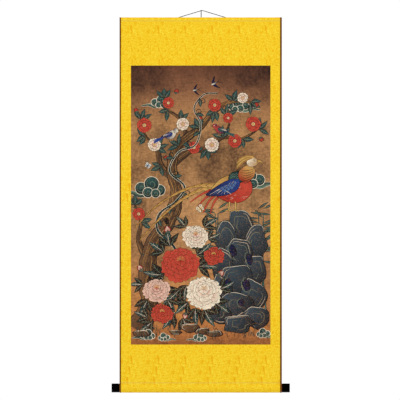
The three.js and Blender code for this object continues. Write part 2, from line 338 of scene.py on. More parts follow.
STOPPER_TURNS = [(90, 0, (-0.45, 0, 0)), (70, 18, (0.1, 0, 0)), (112, -22, (0.5, 0, 0))]
for side in ("left", "right"):
    node_name = "cord_knot_" + side
    centre = sum(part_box(node_name), Vector()) / 2
    tight_knot("stopper_knot_" + side, centre, KNOT_SIZE, STOPPER_TURNS, node_name)


# Tie. A thinner cord folded in half and hitched on the hanging cord beside the nail. Its two free ends
# hang down the back, and they are what the rolled scroll is bound with. Each end has a small knot.
TIE_THICKNESS = 1.5 * mm
TIE_TWIST = 4.6 * mm
TIE_KNOT_SIZE = 1.55 * mm
HITCH_GRAIN = 0.16 * mm
HITCH_TILT = math.radians(75)
TURNS_APART = 0.62 * TIE_THICKNESS
TURNS_SUNK = 0.55 * TIE_THICKNESS
BIGHT_BEFORE = 0.75 * TIE_THICKNESS
BIGHT_REACH = 0.72 * TIE_THICKNESS
BIGHT_HALF = 0.46 * TIE_THICKNESS
BIGHT_RAISED = 0.2 * mm
TIE_ROUTES = {
    "left": [
        (-4.25, 0, -1.5),
        (-4.25, 0, -3.5),
        (-4.3, 0.1, -10),
        (-4.4, 0.3, -20),
        (-4.6, 0.5, -33),
        (-4.9, 0.6, -50),
        (-5.3, 0.6, -72),
        (-5.9, 0.5, -98),
        (-6.7, 0.3, -126),
        (-7.6, 0, -156),
        (-8.4, -0.3, -188),
        (-9, -0.5, -220),
        (-9.3, -0.6, -252),
        (-9.2, -0.5, -284),
        (-8.8, -0.3, -314),
        (-8.2, 0, -343),
    ],
    "right": [
        (-2.25, 0, -1.3),
        (-2.25, 0, -3.3),
        (-2.2, 0.1, -10),
        (-2.1, 0.3, -20),
        (-1.9, 0.5, -33),
        (-1.5, 0.6, -50),
        (-0.9, 0.7, -72),
        (0, 0.7, -98),
        (1.1, 0.6, -126),
        (2.3, 0.4, -156),
        (3.4, 0.2, -188),
        (4.3, 0, -220),
        (4.9, -0.1, -252),
        (5.1, -0.1, -284),
        (5, 0, -314),
        (4.6, 0.2, -341),
        (4.2, 0.3, -361),
    ],
}
TIP_TURNS = [(0, 0, (0, 0, 0.5)), (18, 30, (0, 0, 0)), (-16, -20, (0, 0, -0.5))]
hitch_low, hitch_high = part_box("tie_hitch")


def hitch():
    """Two turns of the tie round the cord, and the bight that crosses over them in front."""
    centre = (hitch_low + hitch_high) / 2
    along = Vector((math.sin(HITCH_TILT), 0, math.cos(HITCH_TILT)))
    bpy.ops.object.select_all(action="DESELECT")
    turns = []
    for offset in (-TURNS_APART, TURNS_APART):
        reach = CORD_THICKNESS / 2 + TURNS_SUNK
        turns.append(ring(centre + along * offset, (0, HITCH_TILT, 0), reach, TIE_THICKNESS / 2, 32, 12))
    before = centre - Vector((0, CORD_THICKNESS / 2 + BIGHT_BEFORE, -BIGHT_RAISED))
    turns.append(ring(before, (math.pi / 2, 0, 0), BIGHT_REACH, BIGHT_HALF, 28, 12))
    fused(turns, HITCH_GRAIN)
    bpy.ops.object.shade_smooth()
    return new_piece("tie_hitch_turns", "grey_cord", "tie_hitch", grey_cord)


tie_hitch = hitch()
for side, route in TIE_ROUTES.items():
    name, node_name = "tie_strand_twisted_" + side, "tie_strand_" + side
    strand, line, length = twisted_cord(name, route, TIE_THICKNESS, TIE_TWIST, node_name)
    centre = sum(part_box("tie_tip_" + side), Vector()) / 2
    tip = tight_knot("tie_knot_" + side, centre, TIE_KNOT_SIZE, TIP_TURNS, "tie_tip_" + side)


# Screw eyes. Two small eyes of dull iron wire, screwed through the cloth into the back of the head rod.
# Each is a ring bent closed on a straight shank, whose end is pointed.
WIRE = 1.2 * mm
POINT_INSET = 0.25 * mm
POINT_LENGTH = 0.35 * mm


def dull_iron():
    material, tree, surface = shader("dull iron wire", (0.17, 0.165, 0.155), 0.42, metallic=1.0, specular=0.5)
    place = object_place(tree)
    drawn = speckle(tree, place, 0.3 * mm, 3, (1, 6, 1))
    rust = speckle(tree, place, 2.2 * mm, 4)
    rusty = blend(tree, ramp(tree, rust, 0.55, 0.72), (0.20, 0.19, 0.18), (0.13, 0.06, 0.03))
    dulled = ramp(tree, rust, 0.4, 0.7, 0.34, 0.7)
    feed(tree, surface, Base_Color=rusty, Roughness=dulled, Normal=raised(tree, drawn, 0.04 * mm))
    return material


iron = dull_iron()
for side in ("left", "right"):
    low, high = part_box("screw_eye_" + side)
    ring_radius = (high.z - low.z - WIRE) / 2
    ring_centre = Vector(((low.x + high.x) / 2, high.y - ring_radius - WIRE / 2, (low.z + high.z) / 2))
    shank_end = ring_centre.y - ring_radius
    bpy.ops.object.select_all(action="DESELECT")
    eye = ring(ring_centre, (0, math.pi / 2, 0), ring_radius, WIRE / 2, 48, 16)
    bpy.ops.mesh.primitive_cylinder_add(
        vertices=20,
        radius=(high.x - low.x) / 2,
        depth=shank_end - low.y,
        location=(ring_centre.x, (low.y + shank_end) / 2, ring_centre.z),
        rotation=(math.pi / 2, 0, 0),
    )
    shank = bpy.context.active_object
    settle()
    bpy.ops.object.mode_set(mode="EDIT")
    bpy.ops.mesh.select_mode(type="FACE")
    select_only(shank, "faces", lambda face: face.normal.y < -0.9)
    bpy.ops.mesh.inset(thickness=POINT_INSET)
    bpy.ops.transform.translate(value=(0, -POINT_LENGTH, 0))
    bpy.ops.object.mode_set(mode="OBJECT")
    eye.select_set(True)
    bpy.context.view_layer.objects.active = eye
    bpy.ops.object.join()
    settle()
    bpy.ops.object.shade_smooth_by_angle(angle=math.radians(40))
    new_piece("iron_eye_" + side, "iron_wire", "screw_eye_" + side, iron)


# Rod and roller. A half-round batten of softwood stiffens the head and a turned dowel weights the foot.
# Both are planed and left bare inside their pockets, so only their end grain can be seen.
def bare_softwood():
    material, tree, surface = shader("bare softwood", (0.49, 0.28, 0.12), 0.62, specular=0.3)
    place = object_place(tree)
    pith = node(tree, "ShaderNodeMapping", Vector=place, Location=(0, 0.02, 0.04)).outputs[0]
    wave = dict(wave_type="RINGS", rings_direction="X", Scale=260.0, Distortion=3.0, Detail=3.0)
    rings = node(tree, "ShaderNodeTexWave", Vector=pith, **wave).outputs["Fac"]
    pores = speckle(tree, place, 0.4 * mm, 3, (20, 1, 1))
    grain = blend(tree, rings, (0.56, 0.34, 0.16), (0.37, 0.19, 0.075))
    colour = tinted(tree, grain, pores, 0.35, 0.7, 0.8, 1.1)
    feed(tree, surface, Base_Color=colour, Normal=raised(tree, pores, 0.08 * mm))
    return material


softwood = bare_softwood()
for name in ("top_rod", "roller"):
    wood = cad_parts[name].data
    wood.materials.clear()
    wood.materials.append(softwood)


# Knobs. Two turned wooden knobs in black lacquer, glued on the roller's tenons hard against the cloth.
# Each is a short drum with its outer rim rounded over, a faint hollow in its end and a neck by the cloth.
KNOB_RIM = 0.9 * mm
KNOB_END = 0.6 * mm
NECK_DEPTH = 0.5 * mm
NECK_WIDTH = 1.2 * mm
FLAT_RIM = 4 * mm
HOLLOW_STEPS = ((1.2 * mm, -0.3 * mm), (5 * mm, -0.2 * mm))
LACQUER_BLACK = (0.0003, 0.0003, 0.0003)
DUST = (0.004, 0.0035, 0.003)


def black_lacquer():
    material, tree, surface = shader("black lacquer", LACQUER_BLACK, 0.5, specular=0.008)
    place = object_place(tree)
    orange_peel = speckle(tree, place, 2.4 * mm, 2)
    dust = speckle(tree, place, 0.9 * mm, 5)
    handled = speckle(tree, place, 7 * mm, 3)
    dusty = blend(tree, ramp(tree, dust, 0.62, 0.82, 0, 0.3), LACQUER_BLACK, DUST)
    dulled = ramp(tree, handled, 0.35, 0.7, 0.42, 0.6)
    feed(tree, surface, Base_Color=dusty, Roughness=dulled, Normal=raised(tree, orange_peel, 0.03 * mm))
    return material


lacquer = black_lacquer()
for side in ("left", "right"):
    low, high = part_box("knob_" + side)
    outward = -1 if side == "left" else 1
    middle = (low + high) / 2 + Vector((KNOB_END / 2 * outward, 0, 0))
    bpy.ops.object.select_all(action="DESELECT")
    depth = high.x - low.x + KNOB_END
    bpy.ops.mesh.primitive_cylinder_add(
        vertices=96, radius=(high.z - low.z) / 2, depth=depth, location=middle, rotation=(0, math.pi / 2, 0)
    )
    settle()
    drum = bpy.context.active_object
    bpy.ops.object.mode_set(mode="EDIT")
    bpy.ops.mesh.select_mode(type="FACE")
    select_only(drum, "faces", lambda face: face.normal.x * outward < -0.9)
    bpy.ops.transform.translate(value=(NECK_WIDTH * outward, 0, 0))
    bpy.ops.mesh.inset(thickness=NECK_DEPTH)
    bpy.ops.mesh.extrude_region_move(TRANSFORM_OT_translate={"value": (-NECK_WIDTH * outward, 0, 0)})
    select_only(drum, "faces", lambda face: face.normal.x * outward > 0.9)
    bpy.ops.mesh.bevel(offset=KNOB_RIM, segments=6, profile=0.5)
    select_only(drum, "faces", lambda face: face.normal.x * outward > 0.99 and len(face.verts) > 8)
    bpy.ops.mesh.inset(thickness=FLAT_RIM)
    for width, sunk in HOLLOW_STEPS:
        bpy.ops.mesh.inset(thickness=width, depth=sunk)
    bpy.ops.mesh.select_all(action="SELECT")
    bpy.ops.mesh.normals_make_consistent(inside=False)
    bpy.ops.object.mode_set(mode="OBJECT")
    bpy.ops.object.shade_smooth_by_angle(angle=math.radians(35))
    new_piece("lacquered_knob_" + side, "black_lacquer", "knob_" + side, lacquer)


# Cloth. Every strip of the mount is cut flat, lined with paper, and hung by the rod. The front stands in one
# plane. At the head it turns over the rod and at the foot it goes round the roller, and is pasted down.
LINED_SILK = 1.0 * mm
LAP = 1.0 * mm
CREASE_DEPTH = 0.35 * mm
CREASE_HALF = 1.1 * mm
# Half the width of each crease's darker margin, which is soil and painted shade together.
SOIL_AND_SHADE_HALF = 3.4 * mm
CREASE_WAVER = 0.3 * mm
# How far each crease point is darkened: soil along the pasted crease, and painted shade in its groove.
CREASE_SOIL_AND_SHADE = (0, 0.8, 1, 0.8, 0)
NEAR = 0.01 * mm
HEAD_FLAP = 9 * mm
FOOT_FLAP = 11 * mm
SEAM_ABOVE_ROLLER = 18.6 * mm
front_y = picture_low.y
head_low, head_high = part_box("head_panel")
rod_low, rod_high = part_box("top_rod")
roller_low, roller_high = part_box("roller")
rod_centre = Vector((rod_low.y, (rod_low.z + rod_high.z) / 2))
rod_half = (rod_high.z - rod_low.z) / 2
rod_depth = rod_high.y - rod_low.y
roller_centre = Vector(((roller_low.y + roller_high.y) / 2, (roller_low.z + roller_high.z) / 2))
pocket_radius = roller_centre.y - foot_low.z
over_rod = rod_low.y - front_y
head_seam = rod_low.z - over_rod
foot_seam = roller_centre.y + SEAM_ABOVE_ROLLER


def arc(centre, radius_y, radius_z, start, end, steps):
    """Points round part of an ellipse in the YZ plane, by degrees."""
    angles = (math.radians(start + (end - start) * i / steps) for i in range(steps + 1))
    return [Vector((centre[0] + radius_y * math.cos(a), centre[1] + radius_z * math.sin(a))) for a in angles]


def crease(height, proud):
    """The shallow groove where the pocket is pasted to the sheet, met from below, with its margins soiled and
    darkened by painted shade.
    """
    steps = ((-SOIL_AND_SHADE_HALF, 0), (-CREASE_HALF, 0), (0, CREASE_DEPTH), (CREASE_HALF, 0), (SOIL_AND_SHADE_HALF, 0))
    return [Vector((front_y - proud + depth, height + rise)) for rise, depth in steps]


def over_head(proud=0.0):
    """The outside of the cloth from the head's crease up, over the rod and down to its pasted edge."""
    top = (rod_low.y, rod_high.z)
    reach = over_rod + proud
    flap_y = front_y + 2 * LINED_SILK + 3 * proud
    meets = math.degrees(math.acos((flap_y - rod_centre[0]) / (rod_depth + reach)))
    return [
        *crease(head_seam, proud),
        *arc(top, reach, reach, 180, 90, 6),
        *arc(rod_centre, rod_depth + reach, rod_half + reach, 90, -meets, 24)[1:],
        Vector((flap_y, head_seam - HEAD_FLAP)),
    ]


def round_roller(proud=0.0):
    """The outside of the cloth from the foot's crease down, under the roller and up to its pasted edge."""
    radius = pocket_radius + proud
    front = Vector((front_y - proud, foot_seam))
    back = Vector((front_y + 2 * LINED_SILK + 3 * proud, foot_seam))

    def touch(point, side):
        away = point - roller_centre
        return math.degrees(math.atan2(away.y, away.x) + side * math.acos(radius / away.length))

    turn = arc(roller_centre, radius, radius, touch(front, 1), touch(back, -1) + 360, 48)
    return [*crease(foot_seam, proud)[::-1], *turn, back, back + Vector((0, FOOT_FLAP))]


def hang_cloth(materials, left, right, low_z, high_z, proud=0.0, head=False, foot=False, columns=24):
    """A strip of cloth. Its flat run is a grid, and each end that wraps is extruded along its path."""
    up = over_head(proud) if head else []
    down = round_roller(proud) if foot else []
    top = up[0].y if head else high_z
    bottom = down[0].y if foot else low_z
    outside = front_y - proud
    bpy.ops.object.select_all(action="DESELECT")
    upright = (math.pi / 2, 0, 0)
    bpy.ops.mesh.primitive_grid_add(x_subdivisions=columns, y_subdivisions=8, size=1, rotation=upright)
    cloth = bpy.context.active_object
    cloth.scale = (right - left, top - bottom, 1)
    cloth.location = ((left + right) / 2, outside, (top + bottom) / 2)
    settle()
    bpy.ops.object.mode_set(mode="EDIT")
    bpy.ops.mesh.select_mode(type="EDGE")
    for height, path in ((top, up), (bottom, down)):
        end = Vector((outside, height))
        select_only(cloth, "edges", lambda edge: all((v.co.yz - end).length < NEAR for v in edge.verts))
        for here, there in zip(path, path[1:]):
            bpy.ops.mesh.extrude_region_move(TRANSFORM_OT_translate={"value": (0, *(there - here))})
    bpy.ops.object.mode_set(mode="OBJECT")
    mark_cut(cloth.data, up, down)
    for material in materials:
        cloth.data.materials.append(material)
    return cloth


def thicken(cloth, thickness, round_off=0.18 * mm):
    """Gives the cloth its thickness behind its face. The back takes the second material, the paper."""
    even = dict(offset=-1, use_even_offset=True, use_quality_normals=True, material_offset=1)
    finish_with(cloth, "SOLIDIFY", thickness=thickness, **even)
    if round_off:
        rounded = dict(segments=2, limit_method="ANGLE", angle_limit=math.radians(70))
        finish_with(cloth, "BEVEL", width=round_off, **rounded)
    bpy.ops.object.shade_smooth_by_angle(angle=math.radians(40))


def mark_cut(mesh, up, down):
    """Writes where each point lay in the flat cut, in metres, and how much it is soiled and darkened by
    painted shade along the creases.
    """
    runs = []
    for path, way in ((up, 1), (down, -1)):
        run = 0
        for i, place in enumerate(path):
            run += (place - path[i - 1]).length if i else 0
            soil_and_shade = CREASE_SOIL_AND_SHADE[i] if i < len(CREASE_SOIL_AND_SHADE) else 0
            runs.append((place, path[0].y + way * run, soil_and_shade))
    heights, soil_and_shade_levels = [], []
    for vertex in mesh.vertices:
        place = vertex.co.yz
        spot, height, soil_and_shade = min(runs, key=lambda run: (run[0] - place).length, default=(place, 0, 0))
        if not runs or (spot - place).length > NEAR:
            height, soil_and_shade = vertex.co.z, 0
        vertex.co.z += CREASE_WAVER * soil_and_shade * noise.noise(Vector((vertex.co.x * 24, height * 3, 0)))
        heights.append(height)
        soil_and_shade_levels.append(soil_and_shade)
    mesh.attributes.new("soil_and_shade", "FLOAT", "POINT").data.foreach_set("value", soil_and_shade_levels)
    for layer in list(mesh.uv_layers):
        mesh.uv_layers.remove(layer)
    cut = mesh.uv_layers.new(name="cut")
    for corner, spot in zip(mesh.loops, cut.data):
        spot.uv = (mesh.vertices[corner.vertex_index].co.x, heights[corner.vertex_index])


def cut_size(left, right, low_z, high_z, proud=0.0, head=False, foot=False):
    """The width and length that the strip was cut to."""
    length = high_z - low_z
    if head:
        path = over_head(proud)
        length += path[0].y - high_z + length_of(path)
    if foot:
        path = round_roller(proud)
        length += low_z - path[0].y + length_of(path)
    return right - left, length


# Brocade. Golden yellow silk damask, lined with paper. Rows of small flowers, each with a dark hooked stem
# and a leaf, stand among looser rows of buds and leaves. All four strips of the mount are cut from it: the
# head and the foot are wrapped round rod and roller, and the sides are pasted between them.
REPEAT_ACROSS = 26.9 * pixel
REPEAT_DOWN = 183.5 * pixel
LOOSE_ROWS = 49 * pixel
CLOSE_ROWS_FROM = 3 * LOOSE_ROWS
CLOSE_ROW = 10.5 * pixel
CLOSE_ROW_SHIFT = 2.1 * pixel
LEFT_OF_STEM = 6.5 * pixel
MARK_EDGE = 0.15
WAVER_SCALE = 90.0
WAVER = (0.005, 0.005, 0)
THREAD = 0.55 * mm
CRUMB = 3.0 * mm
DOT_PITCH = 5.2 * mm
GROUND_SHADE = 0.53
DOT_MIDDLE = 0.435
DOT_WEIGHT = 1.14
CRUMB_WEIGHT = 0.3
FLOAT_WEIGHT = 0.35
STEM_X = -254.55 * mm
STEM_TOP_Z = -50.9 * mm
# Each woven mark, in pixels of the view from the top of the nearest stem: its place across and down, its
# two half sizes, its tilt in degrees, and how much darker or lighter than the ground it is woven.
DAMASK_CHART = [
    (6.5, 5.0, 5.5, 4.4, 0, 0.05),
    (0.4, 4.4, 0.85, 4.3, -6, -0.38),
    (0.0, 0.8, 1.25, 1.2, 0, -0.21),
    (-3.3, 5.8, 0.8, 3.1, 20, -0.28),
    (-1.4, 2.7, 1.4, 0.7, -27, -0.21),
    (2.3, 1.5, 2.0, 0.6, 10, -0.19),
    (2.2, 9.3, 1.2, 0.6, 0, -0.21),
    (6.8, 9.3, 1.2, 1.2, 0, -0.28),
    (5.5, 4.3, 0.7, 0.7, 0, -0.17),
    (8.4, 6.6, 0.6, 0.6, 0, -0.13),
    (9.7, 3.0, 0.6, 0.6, 0, -0.13),
    (17.4, 6.0, 1.4, 2.8, 15, -0.22),
    (2.0, 6.9, 1.0, 1.3, 0, 0.12),
    (19.2, 4.4, 0.9, 0.8, 0, 0.11),
    (-1.6, 9.4, 0.9, 0.7, 0, 0.09),
    (8.4, 13.5, 1.3, 2.2, 25, -0.29),
    (9.3, 19.4, 1.4, 0.7, -10, -0.28),
    (7.3, 26.0, 1.0, 1.6, 0, -0.22),
    (11.0, 28.0, 2.2, 0.8, 45, -0.21),
    (-2.4, 17.0, 2.0, 0.8, 0, -0.21),
    (0.7, 18.6, 1.5, 0.7, 50, -0.19),
    (0.6, 23.5, 0.7, 2.8, -20, -0.26),
    (-4.8, 24.0, 0.8, 3.0, 5, -0.17),
    (2.4, 31.5, 1.9, 0.8, -15, -0.25),
    (4.4, 33.2, 0.8, 1.9, -15, -0.25),
    (10.7, 34.5, 1.3, 0.7, 0, -0.28),
    (14.0, 12.0, 1.5, 0.9, 15, -0.19),
    (17.0, 16.0, 0.8, 2.4, -20, -0.21),
    (17.6, 22.0, 0.8, 2.2, -25, -0.17),
    (18.6, 27.5, 1.6, 1.6, 0, -0.13),
    (1.1, 37.5, 0.9, 2.6, 0, -0.24),
    (11.0, 40.5, 1.9, 1.0, 20, -0.24),
    (17.6, 44.5, 1.0, 3.2, -28, -0.24),
    (-4.6, 45.5, 0.7, 2.0, -25, -0.17),
]
YELLOW_DARK = (0.815, 0.385, 0.003)
YELLOW_MID = (0.900, 0.562, 0.008)
YELLOW_LIGHT = (0.955, 0.720, 0.044)
# The darker, duller yellow at the creases: soil, and painted shade in the groove.
SOIL_AND_SHADE_YELLOW = (0.80, 0.55, 0.060)


def backing_paper():
    material, tree, surface = shader("backing paper", (0.74, 0.66, 0.52), 0.85, specular=0.15)
    place = object_place(tree)
    pulp = speckle(tree, place, 16 * mm, 5)
    fibres = speckle(tree, place, 0.8 * mm, 4, (3, 1, 1))
    foxing = ramp(tree, speckle(tree, place, 38 * mm, 6), 0.60, 0.74, 0, 0.55)
    sheet = blend(tree, pulp, (0.78, 0.70, 0.56), (0.70, 0.61, 0.46))
    aged = blend(tree, foxing, sheet, (0.55, 0.42, 0.26))
    colour = tinted(tree, aged, fibres, 0.3, 0.7, 0.93, 1.05)
    feed(tree, surface, Base_Color=colour, Normal=raised(tree, fibres, 0.06 * mm))
    return material


def within(tree, value, start, length):
    """The value counted from start, and again from each further length."""
    return maths(tree, "FLOORED_MODULO", maths(tree, "SUBTRACT", value, start), length)


def varied(tree, shade, grain, middle, weight, clamp=False):
    """A shade raised and lowered by a grain about its middle."""
    return maths(tree, "MULTIPLY_ADD", maths(tree, "SUBTRACT", grain, middle), weight, shade, clamp)


def shades(tree, level, colours):
    """Colours that run one into the next, each at its own level."""
    run = node(tree, "ShaderNodeValToRGB", Fac=level)
    stops = run.color_ramp.elements
    for position, colour in colours.items():
        stop = stops[-position] if position in (0, 1) else stops.new(position)
        stop.color = (*colour, 1)
    return run.outputs["Color"]


def damask_figure(tree, across, up):
    """The place within the woven repeat, and how much darker or lighter than the ground it is woven."""
    run = within(tree, maths(tree, "MULTIPLY", up, -1.0), -STEM_TOP_Z, REPEAT_DOWN)
    close = maths(tree, "GREATER_THAN", run, CLOSE_ROWS_FROM)
    beyond = maths(tree, "SUBTRACT", run, CLOSE_ROWS_FROM)
    row = maths(tree, "MINIMUM", maths(tree, "FLOOR", maths(tree, "DIVIDE", beyond, CLOSE_ROW)), 2.0)
    row = maths(tree, "MULTIPLY", row, close)
    loose_down = maths(tree, "FLOORED_MODULO", run, LOOSE_ROWS)
    close_down = maths(tree, "SUBTRACT", beyond, maths(tree, "MULTIPLY", row, CLOSE_ROW))
    down = node(tree, "ShaderNodeMix", data_type="FLOAT", i0=close, i2=loose_down, i3=close_down).outputs[0]
    straight = maths(tree, "MULTIPLY_ADD", row, CLOSE_ROW_SHIFT, across)
    beside = within(tree, straight, STEM_X - LEFT_OF_STEM, REPEAT_ACROSS)
    beside = maths(tree, "SUBTRACT", beside, LEFT_OF_STEM)
    place = node(tree, "ShaderNodeCombineXYZ", i0=beside, i1=down).outputs[0]
    figure = 0.0
    for x, y, half_x, half_y, tilt, weight in DAMASK_CHART:
        spot = dict(Location=(x * pixel, y * pixel, 0), Rotation=(0, 0, math.radians(tilt)))
        scale = (half_x * pixel, half_y * pixel, 1)
        local = node(tree, "ShaderNodeMapping", vector_type="TEXTURE", Vector=place, Scale=scale, **spot)
        reach = node(tree, "ShaderNodeVectorMath", operation="LENGTH", i0=local.outputs[0]).outputs["Value"]
        figure = maths(tree, "ADD", ramp(tree, reach, 1 + MARK_EDGE, 1 - MARK_EDGE, 0, weight), figure)
    return place, figure


def yellow_brocade():
    material, tree, surface = shader("yellow brocade", YELLOW_MID, 0.5, specular=0.08)
    cut = node(tree, "ShaderNodeUVMap", uv_map="cut").outputs[0]
    waver = node(tree, "ShaderNodeTexNoise", Vector=cut, Scale=WAVER_SCALE, Detail=2.0).outputs["Color"]
    pull = node(tree, "ShaderNodeVectorMath", operation="SUBTRACT", i0=waver, i1=(0.5, 0.5, 0.5)).outputs[0]
    pulled = node(tree, "ShaderNodeVectorMath", operation="MULTIPLY_ADD", i0=pull, i1=WAVER, i2=cut)
    across, up, _ = node(tree, "ShaderNodeSeparateXYZ", i0=pulled.outputs[0]).outputs
    woven, marks = damask_figure(tree, across, up)

    warp = speckle(tree, cut, THREAD, 2, (1, 9, 1))
    weft = speckle(tree, cut, THREAD, 2, (9, 1, 1))
    dotted = node(tree, "ShaderNodeTexVoronoi", Vector=woven, Scale=1 / DOT_PITCH, Randomness=0.6)
    crumbs = speckle(tree, cut, CRUMB, 1.0)
    figure = ramp(tree, marks, -0.3, 0.0)
    floats = blend(tree, figure, warp, weft)

    shade = maths(tree, "ADD", marks, GROUND_SHADE)
    shade = varied(tree, shade, dotted.outputs["Distance"], DOT_MIDDLE, DOT_WEIGHT)
    shade = varied(tree, shade, crumbs, 0.5, CRUMB_WEIGHT)
    shade = varied(tree, shade, floats, 0.5, FLOAT_WEIGHT)
    bands = shades(tree, shade, {0: YELLOW_DARK, 0.5: YELLOW_MID, 1: YELLOW_LIGHT})
    # Along the pasted creases the yellow is painted darker: soil, and painted shade in the groove.
    soil_and_shade = node(tree, "ShaderNodeAttribute", attribute_name="soil_and_shade").outputs["Fac"]
    darkened = maths(tree, "MULTIPLY", soil_and_shade, ramp(tree, crumbs, 0.3, 0.7, 0.55, 1.0))
    colour = blend(tree, darkened, bands, SOIL_AND_SHADE_YELLOW)
    feed(tree, surface, Base_Color=colour, Roughness=ramp(tree, figure, 0, 1, 0.58, 0.42))
    feed(tree, surface, Sheen_Weight=0.05, Sheen_Roughness=0.35, Sheen_Tint=(1.0, 0.85, 0.4))
    height = maths(tree, "MULTIPLY_ADD", figure, 0.4, floats)
    feed(tree, surface, Normal=raised(tree, height, 0.09 * mm, 0.8))
    return material


paper = backing_paper()
brocade = yellow_brocade()
TUCKED = 0.5 * mm
BEHIND_HEAD = 0.07 * mm
cloth_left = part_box("edging_left")[0].x
cloth_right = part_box("edging_right")[1].x


def lay_cloth(name, slot_name, node_name, flat):
    new_piece(name, slot_name, node_name)


for name, run in (
    ("head", dict(low_z=head_low.z, high_z=head_seam, head=True)),
    ("foot", dict(low_z=foot_seam, high_z=foot_high.z, foot=True)),
):
    run.update(left=cloth_left + TUCKED, right=cloth_right - TUCKED)
    thicken(hang_cloth((brocade, paper), **run), LINED_SILK)
    lay_cloth("brocade_" + name, "yellow_brocade", name + "_panel", cut_size(**run))

for name in ("left", "right"):
    low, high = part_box("side_" + name)
    run = dict(low_z=low.z - LAP, high_z=high.z + LAP, proud=-BEHIND_HEAD)
    run["left"] = cloth_left + TUCKED if name == "left" else low.x
    run["right"] = high.x if name == "left" else cloth_right - TUCKED
    thicken(hang_cloth((brocade, paper), **run, columns=2), LINED_SILK - 2 * BEHIND_HEAD)
    lay_cloth("brocade_side_" + name, "yellow_brocade", "side_" + name, cut_size(**run))


# Edgings. A narrow length of plain brown silk, woven in fine ribs, is folded in two round each long edge of
# the mount from head to foot, over rod and roller too. It stands a hair proud of the brocade.
EDGING_PROUD = 0.2 * mm
EDGING_SILK = 0.3 * mm
EDGING_SEEN = {"left": 5.2 * mm, "right": 6.5 * mm}
BROWN_LIGHT = (0.185, 0.058, 0.002)
BROWN_DARK = (0.145, 0.040, 0.001)
RUBBED_BROWN = (0.28, 0.13, 0.03)


def brown_silk():
    material, tree, surface = shader("brown edging silk", BROWN_LIGHT, 0.6, specular=0.1)
    cut = node(tree, "ShaderNodeUVMap", uv_map="cut").outputs[0]
    ribs = speckle(tree, cut, 0.5 * mm, 2, (12, 1, 1))
    wear = speckle(tree, cut, 26 * mm, 4, (1, 3, 1))
    shade = blend(tree, ramp(tree, wear, 0.35, 0.68), BROWN_DARK, BROWN_LIGHT)
    rubbed = blend(tree, ramp(tree, speckle(tree, cut, 4 * mm, 4), 0.62, 0.8, 0, 0.5), shade, RUBBED_BROWN)
    colour = tinted(tree, rubbed, ribs, 0.3, 0.7, 0.82, 1.12)
    feed(tree, surface, Base_Color=colour, Sheen_Weight=0.1, Normal=raised(tree, ribs, 0.08 * mm))
    return material


def cut_open(face):
    """Whether a face closes the folded silk where it is open: at its two cut edges or at an end."""
    middle = face.calc_center_median()
    at_end = abs(face.normal.z) > 0.99 and any(abs(middle.z - end) < 1e-6 for end in edging_ends)
    return at_end or abs(middle.x - inner) < 1e-6


brown = brown_silk()
edging_ends = [over_head(EDGING_PROUD)[-1].y, round_roller(EDGING_PROUD)[-1].y]
for name in ("left", "right"):
    low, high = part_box("edging_" + name)
    inner = low.x + EDGING_SEEN[name] if name == "left" else high.x - EDGING_SEEN[name]
    run = dict(low_z=foot_seam, high_z=head_seam, proud=EDGING_PROUD, head=True, foot=True)
    run["left"], run["right"] = (low.x, inner) if name == "left" else (inner, high.x)
    edging = hang_cloth([brown], **run, columns=2)
    across = LINED_SILK + 2 * EDGING_PROUD
    thicken(edging, across, round_off=0)
    bpy.ops.object.mode_set(mode="EDIT")
    bpy.ops.mesh.select_mode(type="FACE")
    select_only(edging, "faces", cut_open)
    bpy.ops.mesh.delete(type="FACE")
    bpy.ops.object.mode_set(mode="OBJECT")
    thicken(edging, EDGING_SILK, round_off=0)
    width, length = cut_size(**run)
    lay_cloth("silk_edging_" + name, "brown_silk", "edging_" + name, (2 * width + across, length))


# Painted silk. One flat length of old brown silk, set behind the inner edge of the mount and pasted to the
# same lining. It is painted in ink and mineral colours with a stock design of camellia, rock, peonies and
# birds. Places in the design are in millimetres from the picture's lower left corner.
PAINTED_BEHIND = 0.35 * mm
WIDE, HIGH = 500, 1000
PLAIN_GRID = 20
UNDER_MOUNT = 0.6 * mm
hand = random.Random(11)
patches = []


def pigment(*levels):
    """A pigment from its red, green and blue levels on a screen."""
    return tuple(((level / 255 + 0.055) / 1.055) ** 2.4 for level in levels)


INK = pigment(12, 9, 11)
NAVY = pigment(20, 30, 72)
SLATE = pigment(58, 74, 84)
ULTRAMARINE = pigment(30, 62, 132)
SKY = pigment(104, 138, 172)
TEAL = pigment(40, 84, 82)
PALE_TEAL = pigment(112, 142, 122)
PINE = pigment(22, 32, 32)
VERMILION = pigment(158, 30, 24)
ROSE = pigment(196, 70, 54)
BLUSH = pigment(234, 196, 176)
CREAM = pigment(242, 230, 206)
OCHRE = pigment(178, 128, 66)
GOLD = pigment(214, 172, 96)
BARK = pigment(44, 29, 24)
PALE_BARK = pigment(112, 80, 56)


def patch(outline, near, far=None, foot=None, reach=None, cover=1.0):
    """One patch of paint. Its near colour lies at its foot and runs into the far one over its reach."""
    foot = foot or outline[0]
    reach = reach or max((p - foot).length for p in outline)
    patches.append((outline, near, far or near, foot, reach, cover))


def brush(line, wide, colour=INK, taper=0.2, closed=False, cover=1.0):
    """A brush line, full in the middle and drawn out at its ends. A closed one keeps its strength."""
    last = len(line) - 1
    left, right = [], []
    for i, here in enumerate(line):
        before = line[i - 1] if i or closed else here
        after = line[(i + 1) % len(line)] if i < last or closed else here
        way = (after - before).normalized()
        half = wide / 2 * (1 + 0.45 * noise.noise(Vector((here.x, here.y, wide)) * 0.09))
        if not closed:
            half *= taper + (1 - taper) * max(0, math.sin(math.pi * i / last)) ** 0.6
        across = Vector((-way.y, way.x)) * half
        left.append(here + across)
        right.append(here - across)
    if closed:
        left.append(left[0])
        right.append(right[0])
    patch(right + left[::-1], colour, cover=cover)


